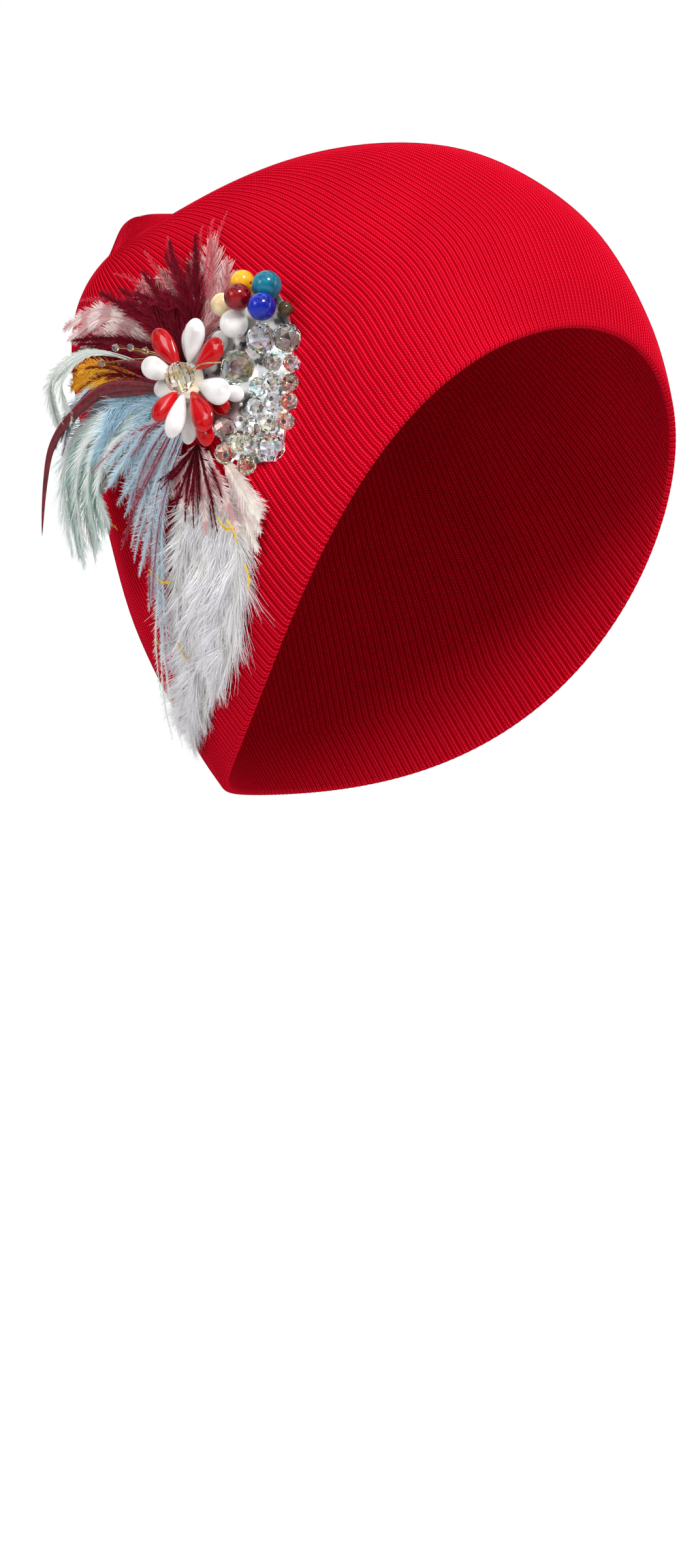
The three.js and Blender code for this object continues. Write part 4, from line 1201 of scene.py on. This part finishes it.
blush_dye = feather_dye(
    "blush down", (0.30, 0.05, 0.06), (0.60, 0.27, 0.27), (0.85, 0.64, 0.62), (0.4, 0.16, 0.15)
)
burgundy_dye = feather_dye(
    "burgundy hackle", (0.13, 0.002, 0.010), (0.11, 0.002, 0.009), (0.24, 0.012, 0.028),
    (0.05, 0.001, 0.004), uneven=0.9, gloss=0.04, sheen=0.0,
)
add_feathers(
    "blush_fan", bunch(BLUSH_BLADES, 12, 21, shortest=0.75),
    blush_dye, "burgundy_feather", 7,
    Curl=0.35, Locking=0.75, Lock_Size=4.5, Stray=0.16, Wave=0.25, Barb_Spacing=0.34, Barb_Width=0.42,
)
hackles = np.concatenate([
    bunch(FAN_BLADES, 27, 22, shortest=0.6, raised=1.4),
    bunch(LOW_FAN_BLADES, 7, 23, stray=(2, 1.2, 0.8), shortest=0.7, raised=1.4),
])
add_feathers(
    "burgundy_hackle_fan", hackles,
    burgundy_dye, "burgundy_feather", 6, "burgundy_fan",
    Barb_Angle=0.5, Curl=0.25, Locking=0.9, Lock_Size=2.2, Stray=0.16, Wave=0.2, Barb_Spacing=0.42,
    Barb_Width=0.32,
)
wisp_dye = feather_dye(
    "red wisp", (0.42, 0.01, 0.03), (0.55, 0.04, 0.07), (0.75, 0.2, 0.25), (0.5, 0.03, 0.06)
)
WISPS = np.array([
    [[-9, 6, 3], [-10, 20, 4], [-10, 33, 4.5]],
    [[-8, 6, 3], [-8, 20, 4], [-6, 31, 5]],
    [[-8, 6, 3], [-5, 20, 4], [-3, 29, 5]],
    [[-3, 7, 3], [3, 18, 5], [8, 26, 6]],
    [[2, 6, 3], [8, 16, 5], [14, 22, 7]],
    [[7, 5, 3], [14, 13, 5], [22, 16, 8]],
    [[9, 0, 3], [20, 8, 6], [31, 9, 10]],
])
add_feathers(
    "red_wisps", WISPS,
    wisp_dye, "burgundy_feather", 2.4, bare=0.02, fullest=0.4,
    Barb_Spacing=0.9, Barb_Width=0.22, Barb_Angle=0.5, Shaft_Width=0.35, Stray=0.3,
)

# ---------------------------------------------------------------------------------------------------
# The striped feathers that lie back over the head behind the fan. They are stiff blush vanes with
# burgundy bars, and a short glossy burgundy spike lies across their roots.

STRIPED_ROOT = [1.4, -18.5, 1]
STRIPED_BLADES = [
    [STRIPED_ROOT, [11, 0, 2.4], [24, 8, 5], [39, 4, 7]],
    [STRIPED_ROOT, [11, -2, 2.4], [24, 5, 5], [39, 0, 7]],
    [STRIPED_ROOT, [12, -6, 2.2], [23, 0, 4.5], [38, -5, 7]],
]
striped_dye = feather_dye(
    "barred blush vane", (0.80, 0.58, 0.56), (0.90, 0.72, 0.70), (0.94, 0.82, 0.80), (0.55, 0.32, 0.30),
    bands=((0.50, 0.06, 0.09), 0.5, 13), uneven=0.4,
)
add_feathers(
    "striped_vanes", bunch(STRIPED_BLADES, 8, 31, stray=(1, 1.2, 0.4), shortest=0.85),
    striped_dye, "striped_feather", 5.5, "striped_feathers", bare=0.25, fullest=0.6,
    Barb_Angle=0.6, Curl=0.2, Locking=0.5, Lock_Size=4, Stray=0.06, Wave=0.1, Barb_Spacing=0.3,
    Barb_Width=0.42,
)


SPIKE_ROWS, SPIKE_SIDES = 44, 10


def spike_form(route, width, thickness):
    """A stiff spike of feather, a narrow pointed leaf with a ridge, along its route."""
    s = np.linspace(0, 1, SPIKE_ROWS)
    points, outward = over_cap(*smooth_route(route, SPIKE_ROWS).T)
    ahead = unit(np.gradient(points, axis=0))
    aside = unit(np.cross(outward, ahead))
    upward = np.cross(ahead, aside)
    leaf = np.minimum(1, s * 5 + 0.12) * (1 - s**2.4) ** 0.8
    around = turns_round(SPIKE_SIDES)
    across = np.cos(around)[None, :, None] * (leaf * width / 2)[:, None, None]
    roof = np.sin(around)[None, :, None] * (leaf * thickness / 2)[:, None, None]
    keel = (1 - np.abs(np.cos(around)))[None, :, None] * (leaf * width * 0.12)[:, None, None]
    skin = points[:, None] + aside[:, None] * across + upward[:, None] * (roof + keel)
    return grid_form(np.concatenate([np.repeat(points[:1, None], SPIKE_SIDES, axis=1), skin]), True)


spike_finish = Finish("burgundy spike", Coat_Weight=0.2, Coat_Roughness=0.15, Specular_IOR_Level=0.35)
spike_grain = spike_finish.noise(700, 3.0)
spike_finish.set(
    Base_Color=spike_finish.ramp(spike_grain, (0.3, (0.06, 0.001, 0.004)), (0.7, (0.20, 0.003, 0.014))),
    Roughness=spike_finish.spread(spike_grain, 0.3, 0.5),
    Normal=spike_finish.relief(spike_grain, 0.2, 0.1 * MM),
)
# Each spike's route, width and thickness.
SHORT_SPIKES = [
    ([[3, -16, 3], [11, -13, 5.5], [21, -11, 8]], 3.6, 1.6),
    ([[3, -14, 3], [13, -8, 5], [27, -2, 9]], 2, 1.2),
]
short_mesh = closed_mesh("short_burgundy_spikes", *(spike_form(*spike) for spike in SHORT_SPIKES))
add_piece(short_mesh, spike_finish.material, "burgundy_feather")

# ---------------------------------------------------------------------------------------------------
# The gold feather. It is a soft golden-orange feather that lies straight back, with burgundy wisps in it.

GOLD_ROOT = [2, -23, 1]
GOLD_BLADES = [
    [GOLD_ROOT, [11, -17, 5], [21, -12, 9], [29, -11, 11]],
    [GOLD_ROOT, [11, -18, 5], [21, -15, 9], [31, -16, 11]],
    [GOLD_ROOT, [11, -19, 5], [21, -18, 9], [31, -21, 11]],
]
gold_dye = feather_dye(
    "golden orange feather", (0.66, 0.22, 0.005), (0.93, 0.40, 0.01), (0.95, 0.52, 0.05),
    (0.7, 0.34, 0.03), uneven=0.4,
)
add_feathers(
    "golden_feathers", bunch(GOLD_BLADES, 9, 41, stray=(1.5, 1.2, 0.4), shortest=0.8, raised=0.6),
    gold_dye, "gold_feather", 6, "gold_feather", bare=0.25, fullest=0.6,
    Barb_Angle=0.55, Locking=0.7, Lock_Size=2.5, Barb_Spacing=0.36, Barb_Width=0.4, Stray=0.12,
)
add_feathers(
    "burgundy_wisps", bunch(GOLD_BLADES, 6, 42, stray=(3, 4, 1), shortest=0.5, raised=1.5),
    burgundy_dye, "burgundy_feather", 2.8, bare=0.25,
    Barb_Angle=0.5, Barb_Spacing=0.7, Barb_Width=0.28, Stray=0.25, Shaft_Width=0.45,
)

# ---------------------------------------------------------------------------------------------------
# The pale blue feathers behind the flower. Soft blue-grey vanes fan back and down over the head, and
# above them lie a grey-green feather and a narrow blue one with a burgundy edge, which both arch out.

BLUE_ROOT = [0.8, -27.5, 1]
BLUE_BLADES = [
    [BLUE_ROOT, [15, -20, 3.5], [27, -24, 8], [36, -36, 14]],
    [BLUE_ROOT, [12, -23, 3.5], [22, -29, 7], [30, -41, 12]],
    [BLUE_ROOT, [9, -26, 3.5], [16, -35, 6], [23, -50, 10]],
    [BLUE_ROOT, [6, -29, 3.5], [10, -40, 5.5], [17, -57, 8]],
    [BLUE_ROOT, [3, -32, 3.2], [4, -43, 4.5], [8, -58, 6]],
]
# The pale tips of the ice blue vanes are partly their own paler dye and partly a painted highlight.
blue_dye = feather_dye(
    "ice blue feather", (0.24, 0.45, 0.60), (0.42, 0.65, 0.78), (0.80, 0.92, 0.96), (0.36, 0.48, 0.56),
    uneven=0.6,
)
grey_green_dye = feather_dye(
    "grey green feather", (0.62, 0.66, 0.62), (0.78, 0.80, 0.76), (0.62, 0.74, 0.66), (0.55, 0.58, 0.54),
    uneven=0.3,
)
add_feathers(
    "ice_blue_vanes", bunch(BLUE_BLADES, 18, 51, stray=(2.5, 3, 1), shortest=0.6, raised=0.6),
    blue_dye, "ice_blue_feather", 7, "blue_plume", bare=0.1, fullest=0.5,
    Barb_Angle=0.7, Curl=0.4, Locking=0.85, Lock_Size=3.4, Barb_Spacing=0.42, Barb_Width=0.28, Wave=0.45,
    Stray=0.4,
)
ARC_BLADES = [
    [[6, -18, 3], [13, -11, 6], [25, -7, 11], [34, -14, 17], [32, -28, 19]],
    [[6, -19, 3], [13, -12, 6], [24, -8, 11], [33, -15, 16], [30, -30, 18]],
]
add_feathers(
    "grey_green_arc", bunch(ARC_BLADES, 4, 52, stray=(0.6, 0.8, 0.4), shortest=0.92),
    grey_green_dye, "ice_blue_feather", 5, bare=0.3, fullest=0.7,
    Barb_Angle=0.55, Curl=0.3, Locking=0.3, Lock_Size=3, Barb_Spacing=0.3, Barb_Width=0.42, Wave=0.12,
    Stray=0.06,
)
ARCH_BLADES = [
    [[4, -20, 3.5], [12, -17, 6], [24, -18, 10], [31, -25, 15], [34, -35, 20]],
    [[4, -21, 3.5], [12, -18, 6], [24, -20, 10], [30, -27, 14], [32, -37, 18]],
]
edged_dye = feather_dye(
    "edged blue feather", (0.22, 0.012, 0.03), (0.52, 0.66, 0.74), (0.82, 0.90, 0.93), (0.20, 0.01, 0.03),
    uneven=0.3,
)
add_feathers(
    "edged_blue_arch", bunch(ARCH_BLADES, 4, 53, stray=(0.6, 0.8, 0.4), shortest=0.9),
    edged_dye, "ice_blue_feather", 4, bare=0.1, fullest=0.6,
    Barb_Angle=0.5, Curl=0.3, Locking=0.4, Lock_Size=3, Barb_Spacing=0.3, Barb_Width=0.36, Stray=0.08,
    Shaft_Width=0.8,
)

# ---------------------------------------------------------------------------------------------------
# The burgundy spikes. They are long glossy pointed feathers that stand out behind the ear, the longest
# of them arching back and down, clear of the knit.

LONG_SPIKES = [
    ([[1, -22, 4], [17, -19, 8], [25, -23, 13], [33, -35, 21], [37, -62, 27]], 4.6, 3.4),
    ([[0, -23, 4], [22, -21, 9], [29, -25, 14], [33, -33, 20]], 3.0, 1.6),
    ([[-2.6, -31.5, 3], [8, -36, 6], [16, -42, 8], [25, -50, 11]], 2.0, 1.2),
]
long_mesh = closed_mesh("long_burgundy_spikes", *(spike_form(*spike) for spike in LONG_SPIKES))
add_piece(long_mesh, spike_finish.material, "burgundy_feather", "burgundy_biots")

# ---------------------------------------------------------------------------------------------------
# The mint feathers. They are soft grey-white feathers with mint green edges that lie back under the
# burgundy spikes and hang down clear of the knit.

MINT_ROOT = [-6, -35.5, 1]
MINT_BLADES = [
    [MINT_ROOT, [14, -28, 5], [29, -30, 11], [36, -46, 17], [34, -74, 20]],
    [MINT_ROOT, [14, -31, 5], [26, -36, 10], [31, -51, 15], [28, -72, 18]],
    [MINT_ROOT, [12, -35, 5], [21, -42, 9], [27, -53, 12], [22, -66, 14]],
]
mint_dye = feather_dye(
    "mint feather", (0.80, 0.83, 0.82), (0.87, 0.90, 0.89), (0.48, 0.78, 0.66), (0.66, 0.72, 0.68),
    uneven=0.3,
)
add_feathers(
    "mint_feathers", bunch(MINT_BLADES, 11, 61, stray=(1.5, 2.5, 1), shortest=0.8),
    mint_dye, "mint_feather", 8.5, "mint_plume", bare=0.2, fullest=0.65,
    Barb_Angle=0.6, Curl=0.35, Locking=0.7, Lock_Size=4, Barb_Spacing=0.3, Barb_Width=0.42, Wave=0.25,
    Stray=0.12,
)

# ---------------------------------------------------------------------------------------------------
# The ice blue strands. They are long thin ostrich strands with short fluffy barbs that fan down and
# back over the knit behind the ear, with a few mauve ones and two mint ones among them.

STRAND_BLADES = [
    [[0, -32, 4], [9, -35, 7], [17, -41, 10], [25, -49, 14]],
    [[-2, -31, 4], [8, -36, 6], [17, -45, 8], [27, -58, 11]],
    [[-2, -32, 4], [6, -43, 6], [14, -55, 7], [23, -69, 9]],
    [[-3, -34, 4], [4, -48, 6], [12, -61, 7], [24, -79, 8]],
    [[-3, -36, 4], [2, -52, 6], [9, -66, 6], [20, -82, 7]],
    [[-5, -38, 4], [3, -56, 6], [10, -80, 6], [20, -103, 6]],
    [[-6, -39, 4], [2, -60, 6], [12, -90, 6], [26, -130, 7]],
]
strand_dye = feather_dye(
    "ice blue strand", (0.42, 0.58, 0.70), (0.56, 0.72, 0.80), (0.78, 0.89, 0.93), (0.50, 0.64, 0.74),
    uneven=0.3,
)
mauve_dye = feather_dye(
    "mauve strand", (0.20, 0.01, 0.03), (0.42, 0.12, 0.18), (0.74, 0.50, 0.58), (0.24, 0.02, 0.05),
    uneven=0.4,
)
add_feathers(
    "ice_blue_fluff", bunch(STRAND_BLADES, 24, 71, stray=(2.5, 3, 1), shortest=0.65),
    strand_dye, "ice_blue_feather", 3.6, "ice_blue_strands", bare=0.06, fullest=0.45,
    Barb_Angle=0.9, Curl=0.3, Locking=0.2, Barb_Spacing=0.4, Barb_Width=0.24, Stray=0.4, Wave=0.4,
    Shaft_Width=0.5,
)
add_feathers(
    "mauve_fluff", bunch(STRAND_BLADES, 8, 72, stray=(3, 3, 1), shortest=0.5, raised=1.0),
    mauve_dye, "burgundy_feather", 2.8, bare=0.06, fullest=0.45,
    Barb_Angle=0.8, Curl=0.3, Locking=0.2, Barb_Spacing=0.5, Barb_Width=0.22, Stray=0.35, Wave=0.3,
    Shaft_Width=0.45,
)
MINT_STRANDS = np.array([
    [[10, -88, 5], [19, -108, 7], [27, -134, 9]],
    [[12, -92, 5], [23, -112, 8], [32, -131, 10]],
    [[8, -80, 5], [18, -98, 7], [28, -118, 9]],
])
add_feathers(
    "mint_fluff", MINT_STRANDS,
    mint_dye, "mint_feather", 2.4, bare=0.02, fullest=0.5,
    Barb_Angle=0.6, Barb_Spacing=0.4, Barb_Width=0.26, Stray=0.3, Wave=0.3, Shaft_Width=0.5,
)

# ---------------------------------------------------------------------------------------------------
# The white plume. It is a broad fluffy white feather that hangs from the brooch to the nape, with a pale
# quill, lavender-white edges and a few short yellow strands.

WHITE_ROOT = [-12.4, -43.5, 1]
WHITE_BLADES = [
    [WHITE_ROOT, [-2, -62, 1.5], [9, -90, 1.8], [25, -118, 2], [60, -139, 2]],
    [WHITE_ROOT, [-7, -70, 1.5], [1, -100, 1.8], [22, -127, 2], [52, -146, 2]],
    [WHITE_ROOT, [-13, -70, 1.5], [-10, -92, 1.8], [4, -119, 2], [38, -145, 2]],
    [WHITE_ROOT, [-18, -66, 1.5], [-19, -86, 1.8], [-12, -106, 2], [6, -124, 2]],
    [WHITE_ROOT, [-20, -64, 1.5], [-24, -78, 1.8], [-23, -92, 2], [-16, -106, 2]],
]
white_dye = feather_dye(
    "white plume", (0.93, 0.91, 0.86), (0.95, 0.94, 0.92), (0.86, 0.84, 0.90), (0.88, 0.80, 0.60),
    uneven=0.3,
)
add_feathers(
    "white_ostrich", bunch(WHITE_BLADES, 17, 81, stray=(1.2, 2, 0.4), shortest=0.82),
    white_dye, "white_feather", 13, "white_plume", bare=0.05, fullest=0.5,
    Barb_Angle=0.62, Curl=0.4, Locking=0.9, Lock_Size=5, Barb_Spacing=0.3, Barb_Width=0.4, Wave=0.4,
    Stray=0.22, Shaft_Width=0.9, Lift=0.3,
)
yellow_dye = feather_dye(
    "yellow strand", (0.85, 0.50, 0.02), (0.90, 0.58, 0.03), (0.92, 0.70, 0.12), (0.8, 0.5, 0.03)
)
YELLOW_STRANDS = np.array([
    [[12, -78, 6.5], [8, -82, 6.5], [3, -83, 6.5]],
    [[28, -58, 8], [27, -61, 8], [25, -64, 7]],
    [[22, -100, 6], [19, -103, 6], [16, -107, 6]],
    [[-18, -65, 4.5], [-20, -68, 4.5], [-23, -69, 4.5]],
    [[-21, -66, 4.5], [-23, -69, 4.5], [-24, -73, 4.5]],
    [[9, -102, 5], [8, -106, 5], [5, -108, 5]],
    [[-26, -80, 4], [-27, -84, 4], [-27, -88, 4]],
])
add_feathers(
    "yellow_strands", YELLOW_STRANDS,
    yellow_dye, "gold_feather", 1.6, bare=0.02, fullest=0.5,
    Barb_Angle=0.4, Barb_Spacing=0.3, Barb_Width=0.32, Stray=0.2, Shaft_Width=0.7,
)

# ---------------------------------------------------------------------------------------------------
# The burgundy hackle fringe that hangs from the lower end of the brooch over the white plume, with short
# pinkish-white fluff under it.

FRINGE_ROOT = [-10, -41, 2.8]
FRINGE_BLADES = [
    [FRINGE_ROOT, [-4, -48, 4.4], [3, -55, 5.4]],
    [FRINGE_ROOT, [-7, -52, 4.4], [-3, -63, 5.4]],
    [FRINGE_ROOT, [-11, -54, 4.4], [-11, -67, 5.4]],
    [FRINGE_ROOT, [-15, -55, 4.4], [-19, -70, 5.4]],
    [FRINGE_ROOT, [-19, -54, 4.4], [-27, -71, 5]],
]
add_feathers(
    "blush_fringe", bunch(FRINGE_BLADES, 9, 92, stray=(1.5, 2, 0.4), shortest=0.8),
    striped_dye, "striped_feather", 5, bare=0.05,
    Barb_Angle=0.7, Curl=0.3, Locking=0.6, Barb_Spacing=0.36, Barb_Width=0.4, Wave=0.3,
)
add_feathers(
    "burgundy_fringe", bunch(FRINGE_BLADES, 26, 91, stray=(2.5, 3, 0.8), shortest=0.45, raised=0.8),
    burgundy_dye, "burgundy_feather", 2.4, "burgundy_hackle", bare=0.05, fullest=0.35,
    Barb_Angle=0.4, Curl=0.2, Locking=0.5, Lock_Size=2.5, Barb_Spacing=0.45, Barb_Width=0.34, Stray=0.2,
)

# ---------------------------------------------------------------------------------------------------
# The cream tuft in front of the white plume. It is a short soft feather, cream with pink tips.

TUFT_ROOT = [-17, -44, 1]
TUFT_BLADES = [
    [TUFT_ROOT, [-26, -57, 1.8], [-32, -67, 2.8]],
    [TUFT_ROOT, [-25, -61, 1.8], [-31, -75, 2.8]],
    [TUFT_ROOT, [-23, -64, 1.6], [-27, -81, 2.4]],
]
tuft_dye = feather_dye(
    "cream tuft", (0.92, 0.86, 0.74), (0.93, 0.89, 0.84), (0.88, 0.66, 0.66), (0.7, 0.55, 0.42),
    uneven=0.3,
)
add_feathers(
    "cream_feathers", bunch(TUFT_BLADES, 10, 95, stray=(1.5, 2, 0.4), shortest=0.7),
    tuft_dye, "striped_feather", 6, "cream_tuft", bare=0.08, fullest=0.5,
    Barb_Angle=0.6, Curl=0.3, Locking=0.6, Lock_Size=3, Barb_Spacing=0.32, Barb_Width=0.4, Wave=0.2,
)

# ---------------------------------------------------------------------------------------------------
# The studio: a pale floor far below the held-up hat, a white room whose light is uneven so that the glass
# sparkles, three soft lights, and the camera at head height.

FLOOR_REACH, FLOOR_LEVEL = 4000, -600
floor_sides = np.array([(-1, -1, 0), (1, -1, 0), (1, 1, 0), (-1, 1, 0)]) * FLOOR_REACH
floor_mesh = form_mesh("studio_floor", floor_sides + (0, 0, FLOOR_LEVEL), [(0, 1, 2, 3)])
floor_look = Finish("pale studio floor", Roughness=0.9, Specular_IOR_Level=0.1)
floor_look.set(Base_Color=(0.7, 0.7, 0.7, 1), Emission_Color=(1, 1, 1, 1))
seen = floor_look.step("ShaderNodeLightPath", out="Is Camera Ray")
floor_look.set(Emission_Strength=floor_look.spread(seen, 0.0, 0.75))
floor_mesh.materials.append(floor_look.material)
floor = bpy.data.objects.new("studio_floor", floor_mesh)
bpy.context.scene.collection.objects.link(floor)

world = bpy.data.worlds.new("white studio")
bpy.context.scene.world = world
world.use_nodes = True
sky, room = Tree(world.node_tree), world.node_tree.nodes["Background"]
way = sky.step("ShaderNodeTexCoord", out="Generated")
height = sky.step("ShaderNodeSeparateXYZ", way, out="Z")
glow = sky.ramp(
    sky.step("ShaderNodeMapRange", height, -1),
    *((place, (light,) * 3) for place, light in ((0.0, 0.34), (0.40, 0.16), (0.58, 0.42), (1.0, 1.0))),
)
panes = sky.step("ShaderNodeTexNoise", way, 2.4, 0.0)
pane_light = sky.step("ShaderNodeMapRange", panes, 0.44, 0.56, 0.3, 1.7)
through_glass = sky.step("ShaderNodeLightPath", out="Is Transmission Ray")
sky.feed(room.inputs["Color"], sky.blend(1.0, glow, pane_light, "MULTIPLY"))
sky.feed(room.inputs["Strength"], sky.step("ShaderNodeMapRange", through_glass, None, None, 0.95, 2.6))
backdrop = sky.step("ShaderNodeBackground", (1, 1, 1, 1))
seen = sky.step("ShaderNodeLightPath", out="Is Camera Ray")
whole_room = sky.step("ShaderNodeMixShader", seen, room.outputs[0], backdrop)
sky.feed(world.node_tree.nodes["World Output"].inputs["Surface"], whole_room)


def soft_light(name, place, aim, size, power):
    """A square lamp of so many metres and watts, turned to a point."""
    lamp = bpy.data.lights.new(name, "AREA")
    lamp.shape = "SQUARE"
    lamp.size = size
    lamp.energy = power
    light = bpy.data.objects.new(name, lamp)
    light.location = place
    light.rotation_euler = (Vector(aim) - Vector(place)).to_track_quat("-Z", "Y").to_euler()
    bpy.context.scene.collection.objects.link(light)


soft_light("key light", (-0.5, -1.2, 1.05), (0, 0, -0.03), 0.45, 22)
soft_light("side light", (-1.4, 0.1, 0.5), (0, 0, -0.05), 0.5, 4)
soft_light("fill light", (0.9, -1.2, 0.2), (0, 0, -0.03), 0.8, 5)

bpy.context.scene.view_settings.view_transform = "Standard"

lens = bpy.data.cameras.new("camera")
lens.sensor_fit = "VERTICAL"
lens.sensor_height = 36
lens.lens = 75
camera = bpy.data.objects.new("camera", lens)
camera.location = (-0.71448, -0.83643, -0.150)
camera.rotation_euler = (math.radians(90), 0, math.radians(-40))
bpy.context.scene.collection.objects.link(camera)
bpy.context.scene.camera = camera
